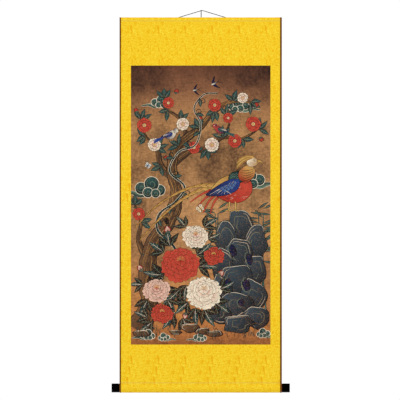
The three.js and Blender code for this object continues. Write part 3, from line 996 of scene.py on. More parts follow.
def shape(points, near, far=None, foot=None, reach=None, line=1.0, ink=INK, each=3, cover=1.0):
    """A painted shape with its contour in ink."""
    outline = flowing(points, closed=True, each=each)
    patch(outline, near, far, foot, reach, cover)
    if line:
        brush(outline, line, ink, closed=True)


def placed(profile, foot, angle, length, width, bend=0.0):
    """A profile of points (along, across), turned and stretched to its place."""
    way = Vector((math.cos(math.radians(angle)), math.sin(math.radians(angle))))
    side = Vector((-way.y, way.x))
    foot = Vector(foot)
    return [foot + way * a * length + side * (b * width + bend * a * a * length) for a, b in profile]


def spot(centre, wide, high=None, tilt=0.0, count=10, rough=0.0):
    """Points round an oval, roughened where it is asked."""
    ring = []
    for i in range(count):
        angle = math.tau * i / count
        stretch = 1 + rough * hand.uniform(-1, 1)
        ring.append((math.cos(angle) * stretch, math.sin(angle) * stretch * (high or wide) / wide))
    return placed(ring, centre, tilt, wide, wide)


PETAL = (
    (0, 0), (0.22, 0.2), (0.52, 0.42), (0.8, 0.5), (0.97, 0.33), (0.91, 0.19), (1.03, 0.06),
    (0.95, -0.08), (1.0, -0.27), (0.84, -0.47), (0.5, -0.44), (0.2, -0.2),
)
LEAF = (
    (0, 0), (0.1, 0.1), (0.3, 0.36), (0.52, 0.46), (0.74, 0.3), (0.9, 0.11), (1, 0),
    (0.9, -0.1), (0.74, -0.28), (0.52, -0.44), (0.3, -0.34), (0.1, -0.09),
)


def petal(foot, angle, length, width, near, far, vein, veins=3):
    uneven = [(a * hand.uniform(0.95, 1.05), b * hand.uniform(0.88, 1.12)) for a, b in PETAL]
    shape(placed(uneven, foot, angle, length, width), near, far, Vector(foot), length, 0.9, each=2)
    for k in range(veins):
        spread = (k - (veins - 1) / 2) * 0.22
        streak = [(0.25, spread * 0.4), (0.5, spread * 0.8), (0.78, spread)]
        brush(placed(streak, foot, angle, length, width), 0.7, vein, cover=0.6)


def leaf(foot, angle, length, width, near=PINE, far=TEAL, rib=PALE_TEAL, bend=0.0, veins=3):
    def at(*points):
        return placed(points, foot, angle, length, width, bend)

    shape(at(*LEAF), near, far, Vector(foot), length * 1.1, 1.0, each=2)
    for side in (1, -1):
        for k in range(veins):
            a = 0.18 + 0.22 * k
            edge = 0.36 - abs(a + 0.1 - 0.5) * 0.5
            vein = at((a, 0), (a + 0.1, side * edge * 0.6), (a + 0.17, side * edge))
            brush(vein, 0.6, rib, cover=0.5)
    brush(at((0, 0), (0.3, 0), (0.6, 0), (0.94, 0)), 1.3, rib, cover=0.85)


def peony(centre, radius, deep, mid, pale):
    """Five rings of frilled petals, deep at the heart and pale at the rim, with gold stamens."""
    centre = Vector(centre)
    for ring, (reach, count, wide) in enumerate(
        ((1.0, 8, 0.78), (0.84, 8, 0.66), (0.66, 7, 0.56), (0.48, 6, 0.46), (0.3, 5, 0.36))
    ):
        start = hand.uniform(0, 360)
        lift = Vector((0, radius * 0.05 * ring))
        for k in range(count):
            angle = start + 360 * k / count + hand.uniform(-9, 9)
            tip_up = math.sin(math.radians(angle))
            length = radius * reach * hand.uniform(0.92, 1.08) * (1 - 0.14 * abs(tip_up))
            near = deep if ring % 2 else mid
            foot = centre + lift + Vector((0, -radius * 0.04))
            petal(foot, angle, length, radius * wide, near, pale, deep, veins=2 if ring < 3 else 1)
    heart = centre + Vector((0, radius * 0.18))
    for k in range(9):
        angle = 90 + (k - 4) * 24
        tip = placed([(0, 0), (0.6, 0), (1, 0)], heart, angle, radius * 0.17, 1)
        brush(tip, 0.9, GOLD)
        patch(spot(tip[-1], 1.5, count=6), GOLD, OCHRE)


def bud(foot, angle, size, deep, pale):
    for turn, near in ((22, deep), (-22, deep), (0, pale)):
        sepal = placed(LEAF, foot, angle + turn * 0.6, size, size * 0.72)
        shape(sepal, deep, near, Vector(foot), size, each=2)
    for turn in (40, -40, 0):
        leaf(foot, angle + turn, size * 0.5, size * 0.26, veins=0)


def camellia(centre, radius, deep, pale):
    centre = Vector(centre)
    start = hand.uniform(0, 72)
    for reach, count in ((1.0, 6), (0.68, 5)):
        for k in range(count):
            angle = start + 360 * k / count + hand.uniform(-6, 6)
            petal(centre, angle, radius * reach, radius * reach * 1.05, deep, pale, deep, veins=1)
        start += 36
    shape(spot(centre, radius * 0.26, count=8), GOLD, OCHRE, line=0.7, each=2)
    for k in range(8):
        patch(spot(placed([(1, 0)], centre, 45 * k, radius * 0.2, 1)[0], 1.1, count=5), CREAM)


def stem(route, start, end, colour, rim=INK):
    line = flowing([Vector(p) for p in route], each=6)
    last = len(line) - 1
    sides = []
    for i, here in enumerate(line):
        way = (line[min(i + 1, last)] - line[max(i - 1, 0)]).normalized()
        gnarled = 1 + 0.3 * noise.noise(Vector((here.x, here.y, start)) * 0.035)
        half = (start + (end - start) * (i / last) ** 0.8) / 2 * gnarled
        across = Vector((-way.y, way.x)) * half
        sides.append((here + across, here - across))
    for (a, b), (c, d) in zip(sides, sides[1:]):
        patch([b, d, c, a], *colour, foot=(a + c) / 2, reach=(a - b).length + 0.1)
    for side in (0, 1):
        brush([pair[side] for pair in sides], 0.7 + start * 0.022, rim, taper=0.5)
    return line, sides


def limb(route, start, end, bark=(PALE_BARK, BARK)):
    """A branch with bark strokes that follow it and spots of moss on its upper side."""
    line, sides = stem(route, start, end, bark)
    last = len(line) - 1
    for _ in range(int(length_of(line) * start / 170)):
        i = hand.randrange(0, last - 2)
        reach = min(last - i, hand.randint(2, 5))
        share = hand.uniform(0.08, 0.92)
        drift = hand.uniform(-0.1, 0.1)
        stroke = [sides[i + k][0].lerp(sides[i + k][1], share + drift * k / reach) for k in range(reach + 1)]
        light = hand.random() < 0.3
        brush(stroke, hand.uniform(0.8, 1.7), OCHRE if light else INK, cover=0.55 if light else 0.8)
    for i in range(3, last, max(4, int(200 / start))):
        place = sides[i][0].lerp(sides[i][1], hand.choice((0.06, 0.12, 0.9)))
        for _ in range(3):
            dot = place + Vector((hand.uniform(-4, 4), hand.uniform(-3, 3)))
            patch(spot(dot, hand.uniform(1, 2.2), count=6), PINE, TEAL)


def boulder(x, y, wide, high, near=SLATE, far=INK):
    """A lump of pierced garden rock, its hollows drawn in rings of shorter and shorter strokes."""
    ragged = spot((x, y), wide, high, count=13, rough=0.2)
    outline = flowing(ragged, closed=True, each=2)
    light = Vector((x - wide * 0.55, y + high * 0.7))
    patch(outline, near, far, light, (wide + high) * 1.15)
    centre = Vector((x, y))
    for ring in (0.84, 0.64, 0.42):
        start = hand.randrange(len(outline))
        count = hand.randint(7, 14)
        part = [outline[(start + k) % len(outline)] for k in range(count)]
        hollow = [centre + (p - centre) * (ring + 0.002 * k) for k, p in enumerate(part)]
        brush(hollow, 1.4, INK, cover=0.75)
        rim = [centre + (p - centre) * 0.955 for p in hollow]
        brush(rim, 1.2, CREAM if ring > 0.8 else PALE_TEAL, cover=0.75)
    brush(outline, 2.4, INK, closed=True)
    crest = [centre + (p - centre) * 0.975 for p in outline[3:12]]
    brush(crest, 1.6, CREAM, cover=0.85)


def cloud(x, y, size, flip=1):
    """A bank of curling cloud in dark teal, each curl edged in cream."""
    def at(a, b):
        return Vector((x + flip * size * a, y + size * b))

    tail = [at(-2.6, -0.5), at(-1.6, -0.35), at(-0.8, -0.55), at(0, -0.3)]
    stem(tail, size * 0.12, size * 0.6, (PALE_TEAL, PINE), CREAM)
    for a, b, r in (
        (-0.75, 0.0, 0.5), (0.75, -0.15, 0.46), (0.1, 0.35, 0.6), (-0.2, -0.35, 0.42), (0.42, -0.42, 0.36),
    ):
        centre = at(a, b)
        ring = spot(centre, size * r, count=14)
        patch(ring, TEAL, PINE, centre + Vector((0, size * r * 0.5)), size * r * 1.4)
        brush(flowing(ring, closed=True, each=2), 1.6, CREAM, closed=True)
        curl = []
        for k in range(18):
            turn = math.radians(100 + 30 * k)
            way = Vector((flip * math.cos(turn), math.sin(turn)))
            curl.append(centre + way * size * r * (0.8 - 0.04 * k))
        brush(curl, 1.3, PALE_TEAL, cover=0.9)


# Washes of ink and smoke in the silk itself: the middle of each, its two half sizes and its depth.
WASHES = (
    (10, 985, 130, 120, 0.75), (490, 990, 170, 100, 0.85), (250, 860, 230, 40, -0.2),
    (350, 640, 120, 120, 0.6), (390, 250, 120, 230, 0.45), (90, 380, 110, 260, 0.4),
    (190, 700, 130, 100, 0.5), (250, 0, 320, 36, 0.3), (480, 560, 60, 300, 0.25), (0, 560, 50, 300, 0.3),
)

cloud(70, 560, 44)
cloud(430, 590, 40, -1)
cloud(386, 856, 30, -1)
cloud(105, 868, 26)

trunk = [
    (26, 52), (66, 150), (56, 260), (84, 370), (140, 450), (164, 540), (146, 630), (172, 715), (246, 776),
    (300, 838), (366, 872), (428, 868),
]
for route, start, end in (
    (((150, 645), (214, 694), (275, 702), (330, 742), (398, 738), (456, 772)), 27, 6),
    (((158, 590), (108, 640), (94, 704), (52, 746), (36, 806)), 30, 6),
    (((200, 745), (178, 806), (134, 842), (120, 884)), 19, 4),
    (((60, 300), (28, 372), (36, 440), (14, 500)), 26, 7),
    (((330, 742), (352, 790), (340, 822)), 12, 4),
    (trunk, 80, 8),
):
    limb(route, start, end)
for x, y, wide, high in ((70, 225, 9, 17), (128, 442, 8, 13), (156, 600, 6, 11)):
    shape(spot((x, y), wide, high, 15, 9, 0.12), BARK, INK, line=2, each=2)
    brush(flowing(spot((x, y), wide * 1.45, high * 1.35, 15, 9, 0.1)[:7], each=3), 1.4, OCHRE, cover=0.8)

TWIGS = (
    (456, 772, 30), (398, 738, 290), (330, 742, 100), (275, 702, 275), (214, 694, 60), (36, 806, 70),
    (52, 746, 200), (94, 704, 20), (108, 640, 210), (120, 884, 100), (134, 842, 200), (178, 806, 30),
    (14, 500, 80), (36, 440, 10), (246, 776, 120), (300, 838, 250), (366, 872, 80), (428, 868, 330),
    (340, 822, 80), (172, 715, 150),
)
for x, y, turn in TWIGS:
    for k in range(3):
        spread = turn + (k - 1) * hand.uniform(42, 62)
        length, width = hand.uniform(34, 46), hand.uniform(17, 22)
        leaf((x, y), spread, length, width, bend=hand.uniform(-0.2, 0.2), veins=2)
for x, y, radius, deep, pale in (
    (438, 790, 27, VERMILION, ROSE), (372, 730, 24, VERMILION, ROSE), (290, 716, 25, ROSE, CREAM),
    (226, 706, 22, VERMILION, ROSE), (48, 786, 26, VERMILION, ROSE), (84, 716, 23, ROSE, CREAM),
    (134, 866, 20, VERMILION, ROSE), (186, 790, 22, ROSE, CREAM), (300, 858, 23, VERMILION, ROSE),
    (400, 884, 19, ROSE, CREAM), (28, 468, 22, VERMILION, ROSE), (348, 812, 18, VERMILION, ROSE),
):
    camellia((x, y), radius, deep, pale)
for x, y, turn in (
    (462, 744, 300), (22, 830, 110), (160, 898, 70), (440, 856, 20), (250, 800, 100), (120, 660, 60),
):
    bud((x, y), turn, 19, VERMILION, ROSE)


def vine(route, wide, turns, colour):
    """A climbing vine edged in cream, with curled tendrils and a small leaf at each."""
    line, _ = stem(route, wide, wide * 0.4, colour, CREAM)
    for i in range(4, len(line) - 3, turns):
        way = (line[i + 1] - line[i]).normalized()
        flip = hand.choice((-1, 1))
        side = Vector((-way.y, way.x)) * flip
        curl = []
        for k in range(13):
            turn = math.radians(34 * k)
            reach = (1 - 0.06 * k) * wide * 1.1
            out = wide * 1.5 - reach * math.cos(turn)
            curl.append(line[i] + side * out + way * reach * math.sin(turn))
        brush(curl, wide * 0.3, colour[1], 0.4)
        leaf(line[i], math.degrees(math.atan2(side.y, side.x)) + 40 * flip, wide * 3.2, wide * 1.5, veins=0)


VINE_ROUTE = (
    (150, 250), (160, 340), (96, 410), (104, 470), (160, 512), (192, 566), (138, 622), (172, 690),
    (232, 716), (250, 790), (226, 846), (262, 896), (310, 900),
)
vine(VINE_ROUTE, 10, 6, (TEAL, PINE))

for x, lean in ((300, 6), (322, -10), (470, 2), (484, -14)):
    cane = [(x, 120), (x + lean, 280), (x + 2 * lean, 470)]
    stem(cane, 5, 3, (PALE_TEAL, TEAL))
    for k in range(12):
        y = 300 + k * 17
        turn = 90 + hand.choice((-1, 1)) * hand.uniform(40, 120)
        leaf((x + lean * (y - 120) / 175, y), turn, 46, 9, veins=0)

for lump in (
    (398, 424, 46, 66), (346, 376, 44, 60), (444, 356, 44, 72), (388, 322, 58, 58), (332, 286, 38, 60),
    (446, 266, 43, 64), (382, 228, 56, 60), (322, 194, 40, 54), (440, 172, 50, 60), (374, 142, 60, 48),
    (312, 112, 44, 38), (448, 96, 45, 40), (384, 76, 58, 32),
):
    boulder(*lump)
for x, y, wide, high in (
    (366, 336, 12, 22), (424, 306, 11, 19), (350, 218, 11, 17), (414, 214, 13, 20), (396, 150, 11, 12),
):
    shape(spot((x, y), wide, high, 12, 9, 0.15), INK, NAVY, line=2, each=2)
    brush(flowing(spot((x, y), wide * 1.4, high * 1.3, 12, 9, 0.1)[2:8], each=3), 1.6, PALE_TEAL, cover=0.8)

PHEASANT = Vector((352, 572))


def on_bird(*points):
    return [PHEASANT + Vector(p) for p in points]


def feather(route, start, end, near, far, bars=0, bar=INK):
    line, sides = stem(on_bird(*route), start, end, (near, far))
    for k in range(2, len(line) - 2, bars or len(line)):
        a, b = sides[k]
        tip = line[min(k + 2, len(line) - 1)]
        brush([a.lerp(tip, 0.1), tip.lerp(line[k], 0.3), b.lerp(tip, 0.1)], 2.2, bar, 0.5)


for route, wide in (
    (((-48, -6), (-110, -20), (-180, -60), (-250, -122), (-318, -196)), 17),
    (((-50, -2), (-118, -4), (-196, -34), (-270, -84), (-334, -150)), 15),
):
    feather(route, wide, 4, GOLD, OCHRE, 2)
for route in (
    ((-40, -18), (-84, -46), (-118, -84)),
    ((-38, -24), (-72, -58), (-94, -100)),
    ((-44, -10), (-96, -32), (-140, -62)),
    ((-30, -30), (-56, -66), (-68, -104)),
):
    feather(route, 12, 3, VERMILION, ROSE)
BREAST = (
    (70, 22), (83, -4), (76, -36), (46, -60), (4, -64), (-36, -46), (-62, -18), (-46, 8), (0, 28), (40, 38),
)
shape(on_bird(*BREAST), ROSE, VERMILION, PHEASANT + Vector((60, -10)), 110, 1.6)
for k in range(26):
    x, y = hand.uniform(-30, 70), hand.uniform(-52, 0)
    brush(on_bird((x, y), (x - 5, y - 1), (x - 10, y - 4)), 1.2, BLUSH if k % 3 else INK, cover=0.7)
shape(on_bird((-66, -20), (-52, 2), (-28, 24), (12, 36), (8, 6), (-30, -12)), GOLD, OCHRE, line=1.4)
for k in range(7):
    stripe = on_bird((-50 + 9 * k, 2 + 4 * k), (-46 + 8 * k, -6 + 3 * k), (-46 + 8 * k, -12 + 3 * k))
    brush(stripe, 1.2, VERMILION)
shape(on_bird((2, 4), (0, 36), (28, 50), (54, 36), (46, 10)), TEAL, PINE, line=1.4)
for row in range(4):
    for k in range(4):
        x, y = 8 + 11 * k, 12 + 8 * row + 2 * k
        brush(flowing(on_bird((x - 5, y + 4), (x, y - 2), (x + 5, y + 4)), each=3), 1.3, PALE_TEAL)
wing = on_bird((38, 16), (12, 22), (-30, 4), (-84, -34), (-56, -40), (-8, -36), (30, -16))
shape(wing, ULTRAMARINE, NAVY, PHEASANT + Vector((34, 8)), 110, 1.6)
for k in range(7):
    start, end = (20 - 9 * k, 14 - 5 * k), (-70 + 13 * k, -35 + 1.5 * (k % 3))
    middle = ((start[0] + end[0]) / 2 + 4, (start[1] + end[1]) / 2 + 3)
    brush(flowing(on_bird(start, middle, end), each=4), 1.5, SKY if k % 2 else CREAM, cover=0.9)
for row in range(3):
    for k in range(5 - row):
        x, y = 26 - 12 * k - 6 * row, 8 - 5 * k - 9 * row
        scale = on_bird((x, y), (x - 4, y + 6), (x - 11, y + 2), (x - 11, y - 5), (x - 3, y - 6))
        shape(scale, SKY, ULTRAMARINE, line=0.9, each=2)
ruff = on_bird((60, 70), (84, 66), (94, 46), (82, 22), (58, 10), (34, 24), (36, 50))
shape(ruff, GOLD, VERMILION, PHEASANT + Vector((78, 70)), 66, 1.5)
for k in range(6):
    low = 60 - 8 * k
    band = on_bird((38 + k * 1.2, low - 4), (56, low - 9 - k), (74, low - 7), (90 - k, low))
    brush(flowing(band, each=4), 1.8, INK)
shape(on_bird((66, 90), (84, 99), (101, 91), (104, 78), (90, 66), (72, 66), (62, 78)), CREAM, OCHRE, line=1.3)
for k in range(5):
    crest = on_bird((92 - 2 * k, 97), (70, 104 - 3 * k), (46, 98 - 5 * k), (26, 84 - 7 * k))
    brush(flowing(crest, each=5), 5.5, GOLD if k % 2 else OCHRE)
    brush(flowing(crest, each=5), 0.8, INK)
shape(on_bird((101, 90), (112, 88), (121, 79), (110, 81), (102, 80)), OCHRE, GOLD, line=1.0)
shape(on_bird((86, 89), (91, 92), (96, 88), (91, 84)), GOLD, CREAM, line=0.8)
patch(spot(PHEASANT + Vector((91, 88)), 1.9, count=7), INK)
for x, lean in ((2, -4), (22, 2)):
    leg = on_bird((x, -60), (x + lean * 0.5, -76), (x + lean, -90))
    brush(leg, 7.5, INK, 0.8)
    brush(leg, 4.4, GOLD, 0.8)
    for toe in (-13, 3, 12):
        claw = on_bird((x + lean, -90), (x + lean + toe * 0.6, -91), (x + lean + toe, -95))
        brush(claw, 5, INK, 0.6)
        brush(claw, 2.6, GOLD, 0.5)

PEONY_LEAVES = (
    ((118, 236), 150, 78, 0.2), ((112, 250), 182, 70, -0.2), ((118, 330), 140, 66, 0.1),
    ((140, 352), 108, 70, -0.2), ((222, 342), 66, 62, 0.2), ((236, 320), 30, 70, 0.2),
    ((240, 280), 8, 74, -0.2), ((200, 214), 250, 70, 0.2), ((176, 200), 232, 82, -0.2),
    ((232, 132), 262, 70, 0.2), ((262, 128), 290, 74, 0.2), ((300, 150), 330, 66, -0.1),
    ((318, 200), 10, 58, 0.3), ((206, 152), 216, 64, 0.1), ((60, 160), 236, 68, 0.2),
    ((96, 146), 272, 66, 0.1), ((130, 160), 306, 62, -0.2), ((42, 214), 168, 50, 0.2),
    ((196, 420), 120, 52, 0.2), ((262, 420), 44, 60, -0.2), ((276, 380), 12, 50, 0.2),
    ((160, 116), 196, 70, 0.1), ((150, 108), 240, 64, -0.1), ((186, 96), 286, 62, 0.2),
    ((60, 96), 150, 54, 0.1), ((76, 80), 214, 58, 0.1),
)
for foot, turn, size, bend in PEONY_LEAVES:
    leaf(foot, turn, size, size * 0.36, PINE, TEAL, CREAM, bend)
    for side in (44, -40):
        leaf(foot, turn + side, size * 0.8, size * 0.36, INK, PINE, PALE_TEAL, bend)
PEONIES = (
    ((232, 388), 47, ROSE, ROSE, CREAM), ((92, 196), 50, VERMILION, ROSE, BLUSH),
    ((296, 318), 38, VERMILION, VERMILION, ROSE), ((178, 290), 72, VERMILION, VERMILION, ROSE),
    ((262, 188), 66, ROSE, BLUSH, CREAM), ((112, 112), 40, VERMILION, VERMILION, ROSE),
)
for flower in PEONIES:
    peony(*flower)
for foot, turn, size in (
    ((134, 396), 100, 30), ((312, 246), 40, 26), ((40, 262), 120, 26), ((196, 116), 262, 24),
):
    bud(foot, turn, size, VERMILION, BLUSH)


def songbird(x, y, size, flip, back, wing, breast):
    def at(*points):
        return [Vector((x + flip * size * a, y + size * b)) for a, b in points]

    for k in range(3):
        brush(at((-0.3, -0.1), (-0.75, -0.3 - 0.03 * k), (-1.25, -0.42 - 0.12 * k)), size * 0.13, wing, 0.5)
    body = at((0.5, 0.2), (0.3, -0.25), (-0.05, -0.36), (-0.42, -0.16), (-0.2, 0.12), (0.2, 0.36))
    shape(body, breast, back, line=1.1)
    shape(at((0.18, 0.16), (-0.2, 0.14), (-0.72, -0.18), (-0.3, -0.2), (0.1, -0.12)), wing, back, line=1.1)
    for k in range(4):
        brush(at((0.05 - 0.12 * k, 0.1), (-0.25 - 0.08 * k, -0.02), (-0.55, -0.14)), 1.0, CREAM, cover=0.8)
    shape(at((0.3, 0.44), (0.52, 0.5), (0.68, 0.36), (0.6, 0.18), (0.36, 0.14)), back, breast, line=1.1)
    shape(at((0.66, 0.38), (0.86, 0.3), (0.66, 0.27)), INK, OCHRE, line=0.8)
    patch(spot(at((0.53, 0.36))[0], size * 0.045, count=7), CREAM)
    patch(spot(at((0.535, 0.36))[0], size * 0.026, count=6), INK)
    for toe in (0.0, 0.12):
        brush(at((0.02 + toe, -0.32), (0.04 + toe, -0.44), (0.1 + toe, -0.5)), 1.5, OCHRE, 0.7)


songbird(140, 752, 46, 1, NAVY, ULTRAMARINE, CREAM)
songbird(320, 770, 42, -1, NAVY, TEAL, ROSE)


def swallow(x, y, size, turn):
    def at(*points):
        return placed(points, (x, y), turn, size, size)

    for side in (1, -1):
        front = ((0.25, 0), (0.3, side * 0.3), (-0.1, side * 0.75))
        back = ((-0.5, side), (-0.1, side * 0.35), (-0.05, 0))
        shape(at(*front, *back), NAVY, INK, line=0.8)
        brush(at((-0.3, 0), (-0.6, side * 0.08), (-1, side * 0.26)), size * 0.09, INK, 0.4)
    body = at((0.55, 0), (0.35, 0.13), (-0.1, 0.12), (-0.4, 0), (-0.1, -0.1), (0.35, -0.12))
    shape(body, CREAM, NAVY, line=0.9)


swallow(300, 936, 24, 205)
swallow(232, 912, 20, 190)


def butterfly(x, y, size, turn, colour):
    for side in (1, -1):
        for angle, reach in ((38, 1), (112, 0.7)):
            way = turn + side * angle
            wing = placed(PETAL, (x, y), way, size * reach, size * 0.75)
            shape(wing, colour, CREAM, line=0.9, each=2)
            eye = placed([(0.68, 0)], (x, y), way, size * reach, 1)[0]
            patch(spot(eye, size * 0.1, count=6), INK)
    brush(placed([(-0.4, 0), (0, 0), (0.35, 0)], (x, y), turn, size, size), size * 0.14, INK, 0.5)


butterfly(250, 486, 17, 130, GOLD)
butterfly(60, 640, 14, 60, SKY)

for x, y, size, flip in ((60, 34, 22, 1), (118, 26, 17, -1), (248, 26, 19, 1), (474, 40, 20, -1)):
    cloud(x, y, size, flip)
for x, y, wide, high in (
    (214, 60, 34, 15), (258, 48, 26, 12), (40, 40, 30, 13), (300, 40, 30, 11), (160, 44, 22, 9),
):
    boulder(x, y, wide, high, PALE_BARK, BARK)
for _ in range(46):
    x, y = hand.uniform(12, 488), hand.uniform(18, 52)
    for k in range(3):
        lean = hand.uniform(-11, 11)
        blade = [(x, y), (x + lean * 0.3, y + 10), (x + lean, y + hand.uniform(16, 26))]
        brush(flowing(blade, each=3), 1.3, PINE if k else TEAL)
for _ in range(60):
    patch(spot((hand.uniform(10, 490), hand.uniform(10, 60)), hand.uniform(0.8, 2), count=5), INK, cover=0.7)


# The design is first laid on a fine chart that holds the number of the uppermost patch in each cell, so
# that only the contours that show are cut into the sheet.
CHART = 0.5
SHORTEST_CUT = 0.02
CLEAR_OF_EDGE = 1.2
chart = np.zeros((round(HIGH / CHART), round(WIDE / CHART)), dtype=np.int32)


def fill_chart(number, outline):
    """Fills an outline row by row, from where its edges cross each row."""
    start = np.array([tuple(p) for p in outline]) / CHART - 0.5
    end = np.roll(start, -1, axis=0)
    start_y, end_y = np.clip(start[:, 1], 0, chart.shape[0]), np.clip(end[:, 1], 0, chart.shape[0])
    first = np.ceil(np.minimum(start_y, end_y)).astype(int)
    count = np.ceil(np.maximum(start_y, end_y)).astype(int) - first
    edge = np.repeat(np.arange(len(start)), count)
    row = first[edge] + np.arange(len(edge)) - np.repeat(np.cumsum(count) - count, count)
    if not len(row):
        return
    slope = (end - start)[edge]
    column = start[edge, 0] + (row - start[edge, 1]) * slope[:, 0] / slope[:, 1]
    column = np.clip(np.ceil(column), 0, chart.shape[1]).astype(int)
    left, bottom = column.min(), row.min()
    crossings = np.zeros((row.max() - bottom + 1, column.max() - left + 1), dtype=int)
    np.add.at(crossings, (row - bottom, column - left), np.sign(slope[:, 1]).astype(int))
    inside = np.cumsum(crossings, axis=1)[:, :-1] != 0
    chart[bottom : row.max() + 1, left : column.max()][inside] = number


def inside_outline(outline, x, y):
    """Which places lie inside an outline, by how often it winds round them."""
    start = np.array([tuple(p) for p in outline])[:, :, None]
    end = np.roll(start, -1, axis=0)
    turn = (end[:, 0] - start[:, 0]) * (y - start[:, 1]) - (x - start[:, 0]) * (end[:, 1] - start[:, 1])
    rising = (start[:, 1] <= y) & (end[:, 1] > y) & (turn > 0)
    falling = (start[:, 1] > y) & (end[:, 1] <= y) & (turn < 0)
    return rising.sum(axis=0) != falling.sum(axis=0)


def around(places):
    """The nine chart numbers about each place."""
    x, y = (np.clip((places[:, k] / CHART).astype(int), 1, chart.shape[1 - k] - 2) for k in (0, 1))
    return np.stack([chart[y + dy, x + dx] for dy in (-1, 0, 1) for dx in (-1, 0, 1)])


for number, (outline, *_) in enumerate(patches, 1):
    fill_chart(number, outline)
seen = np.unique(chart)
ends = []
for number in seen[seen > 0]:
    start = np.array([tuple(p) for p in patches[number - 1][0]])
    end = np.roll(start, -1, axis=0)
    shows = np.zeros(len(start), dtype=bool)
    for share in (0.05, 0.35, 0.65, 0.95):
        shows |= (around(start + (end - start) * share) == number).any(axis=0)
    shows &= np.linalg.norm(end - start, axis=1) > SHORTEST_CUT
    ends.append(np.stack([start[shows], end[shows]], axis=1).reshape(-1, 2))
ends = np.clip(np.concatenate(ends), CLEAR_OF_EDGE, (WIDE - CLEAR_OF_EDGE, HIGH - CLEAR_OF_EDGE))
cuts = [(k, k + 1) for k in range(0, len(ends), 2)]
across, up = round(WIDE / PLAIN_GRID), round(HIGH / PLAIN_GRID)
plain = [(i * WIDE / across, j * HIGH / up) for i in range(across + 1) for j in range(up + 1)]
silk_points = [Vector(p) for p in np.concatenate([ends, plain])]
silk_points, _, facets, *_ = delaunay_2d_cdt(silk_points, cuts, [], 0, 1e-3, False)

places, facets = np.array([tuple(p) for p in silk_points]), np.array(facets)
middles = places[facets].mean(axis=1)
nearby = around(middles)
numbers, facet_ids = nearby.ravel(), np.tile(np.arange(len(facets)), len(nearby))
order = np.argsort(numbers, kind="stable")
numbers, facet_ids = numbers[order], facet_ids[order]
starts = np.searchsorted(numbers, seen)
uppermost = np.zeros(len(facets), dtype=int)
for number, first, last in zip(seen, starts, [*starts[1:], len(numbers)]):
    if number:
        asked = np.unique(facet_ids[first:last])
        uppermost[asked[inside_outline(patches[number - 1][0], *middles[asked].T)]] = number

bare = ((), OCHRE, OCHRE, Vector((0, 0)), 1, 0)
near, far, foot, reach, cover = (np.array([p[k] for p in [bare, *patches]]) for k in range(1, 6))
paint = np.repeat(uppermost, 3)
corners = places[facets.ravel()]
share = np.minimum(1, np.linalg.norm(corners - foot[paint], axis=1) / reach[paint])[:, None]
colours = np.concatenate([near[paint] * (1 - share) + far[paint] * share, cover[paint][:, None]], axis=1)
depths = sum(
    depth * np.exp(-(((places[:, 0] - x) / wide) ** 2) - ((places[:, 1] - y) / high) ** 2)
    for x, y, wide, high, depth in WASHES
)

silk_front = front_y + PAINTED_BEHIND
size = (picture_high - picture_low).xz + Vector((2, 2)) * UNDER_MOUNT
silk = bpy.data.meshes.new("painted_silk")
silk_left, silk_foot = picture_low.x - UNDER_MOUNT, picture_low.z - UNDER_MOUNT
hung = [(silk_left + x * size[0] / WIDE, silk_front, silk_foot + y * size[1] / HIGH) for x, y in places]
silk.from_pydata(hung, [], facets.tolist())
silk.color_attributes.new("pigment", "FLOAT_COLOR", "CORNER").data.foreach_set("color", colours.ravel())
silk.attributes.new("wash", "FLOAT", "POINT").data.foreach_set("value", depths)
silk_sheet = bpy.data.objects.new("painted_silk", silk)
bpy.context.collection.objects.link(silk_sheet)
bpy.ops.object.select_all(action="DESELECT")
silk_sheet.select_set(True)
bpy.context.view_layer.objects.active = silk_sheet
bpy.ops.object.mode_set(mode="EDIT")
bpy.ops.mesh.select_mode(type="EDGE")
bpy.ops.mesh.select_all(action="SELECT")
bpy.ops.mesh.normals_make_consistent(inside=False)
if bmesh.from_edit_mesh(silk).faces[:][0].normal.y > 0:
    bpy.ops.mesh.flip_normals()
select_only(silk_sheet, "edges", lambda edge: edge.is_boundary)
bpy.ops.mesh.extrude_region_move(TRANSFORM_OT_translate={"value": (0, picture_high.y - silk_front, 0)})
bpy.ops.mesh.edge_face_add()
bpy.ops.mesh.select_mode(type="FACE")
bpy.ops.object.material_slot_add()
bpy.ops.object.mode_set(mode="OBJECT")


AGED_GROUND = {
    0: pigment(174, 106, 58),
    0.12: pigment(196, 130, 74),
    0.4: pigment(200, 148, 98),
    0.78: pigment(186, 136, 88),
    0.92: pigment(138, 92, 64),
    1: pigment(106, 66, 46),
}
SMOKE_WEIGHT = -1.1
MOTTLE_WEIGHT = -0.9
SOOT = pigment(52, 32, 26)
CRACKED = pigment(58, 38, 30)


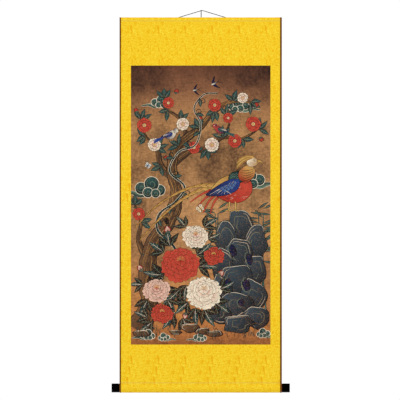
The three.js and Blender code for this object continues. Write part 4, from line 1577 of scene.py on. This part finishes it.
def aged_silk():
    material, tree, surface = shader("aged painted silk", (0.3, 0.17, 0.08), 0.8, specular=0.12)
    place = object_place(tree)
    up = node(tree, "ShaderNodeSeparateXYZ", i0=place).outputs[2]
    ground = shades(tree, ramp(tree, up, picture_low.z, picture_high.z), AGED_GROUND)
    warp = speckle(tree, place, 1.1 * mm, 3, (1, 1, 14))
    weft = speckle(tree, place, 1.1 * mm, 3, (14, 1, 1))
    smoke = speckle(tree, place, 60 * mm, 5)
    mottle = speckle(tree, place, 9 * mm, 4)
    cracks = speckle(tree, place, 3.2 * mm, 3, (5, 1, 1))
    flakes = speckle(tree, place, 2.6 * mm, 5)
    washed = node(tree, "ShaderNodeAttribute", attribute_name="wash").outputs["Fac"]
    painted = node(tree, "ShaderNodeVertexColor", layer_name="pigment")

    dim = varied(tree, washed, smoke, 0.5, SMOKE_WEIGHT)
    dim = varied(tree, dim, mottle, 0.5, MOTTLE_WEIGHT, clamp=True)
    darkened = blend(tree, dim, ground, SOOT)
    worn = ramp(tree, flakes, 0.34, 0.46, 0.66, 1.0)
    cover = maths(tree, "MULTIPLY", painted.outputs["Alpha"], worn)
    coloured = blend(tree, cover, darkened, painted.outputs["Color"])
    threads = maths(tree, "ADD", warp, weft)
    tint = blend(tree, ramp(tree, threads, 0.7, 1.3), (0.72, 0.70, 0.68), (1.22, 1.22, 1.2))
    lined = blend(tree, 1.0, coloured, tint, "MULTIPLY")
    cracked = blend(tree, ramp(tree, cracks, 0.3, 0.42, 0.4, 0.0), lined, CRACKED)
    relief = maths(tree, "MULTIPLY_ADD", cover, 0.35, threads)
    feed(tree, surface, Base_Color=cracked, Normal=raised(tree, relief, 0.08 * mm, 0.8))
    return material


silk.materials.clear()
silk.materials.append(aged_silk())
silk.materials.append(paper)
for facet in silk.polygons:
    facet.material_index = 1 if facet.normal.y > 0.5 else 0
bpy.context.view_layer.objects.active = silk_sheet
lay_cloth("painted_silk", "painted_silk", "picture", tuple(size))


# Floor and light. A pale floor well below the scroll, an even white room and two large soft lights.
FLOOR_DROP = 0.42
FLOOR_SIZE = (9, 8, 1)
FLOOR_AHEAD = 1.6
ROOM_GLOW = 0.94
WHITE_SEEN = 1.02
LIGHT_SIZE = 4.0
LIGHTS = {"key": ((-3.2, -6.0, -1.1), 40), "fill": ((3.2, -6.0, -1.3), 66)}
bpy.ops.object.select_all(action="DESELECT")
bpy.ops.mesh.primitive_plane_add(size=1, location=(0, -FLOOR_AHEAD, foot_low.z - FLOOR_DROP))
floor = bpy.context.active_object
floor.name = "floor"
floor.scale = FLOOR_SIZE
settle()
floor_paint, floor_tree, floor_surface = shader("pale floor", (0.78, 0.78, 0.77), 0.8, specular=0.2)
grain = speckle(floor_tree, object_place(floor_tree), 90 * mm, 4)
feed(floor_tree, floor_surface, Base_Color=blend(floor_tree, grain, (0.77, 0.77, 0.76), (0.80, 0.80, 0.79)))
floor.data.materials.append(floor_paint)

room = bpy.data.worlds.new("room")
bpy.context.scene.world = room
room.use_nodes = True
sky = room.node_tree
straight = sky.nodes.new("ShaderNodeLightPath").outputs["Is Camera Ray"]
glow = maths(sky, "MULTIPLY_ADD", straight, WHITE_SEEN - ROOM_GLOW, ROOM_GLOW)
feed(sky, sky.nodes["Background"], Color=(1, 1, 1), Strength=glow)

middle = Vector((cloth_centre, front_y, (head_high.z + foot_low.z) / 2))
for name, (place, power) in LIGHTS.items():
    light = bpy.data.lights.new(name, "AREA")
    light.size = LIGHT_SIZE
    light.energy = power
    lamp = bpy.data.objects.new(name, light)
    bpy.context.collection.objects.link(lamp)
    lamp.visible_camera = False
    lamp.location = place
    lamp.rotation_euler = (middle - lamp.location).to_track_quat("-Z", "Y").to_euler()

bpy.context.scene.view_settings.view_transform = "Standard"
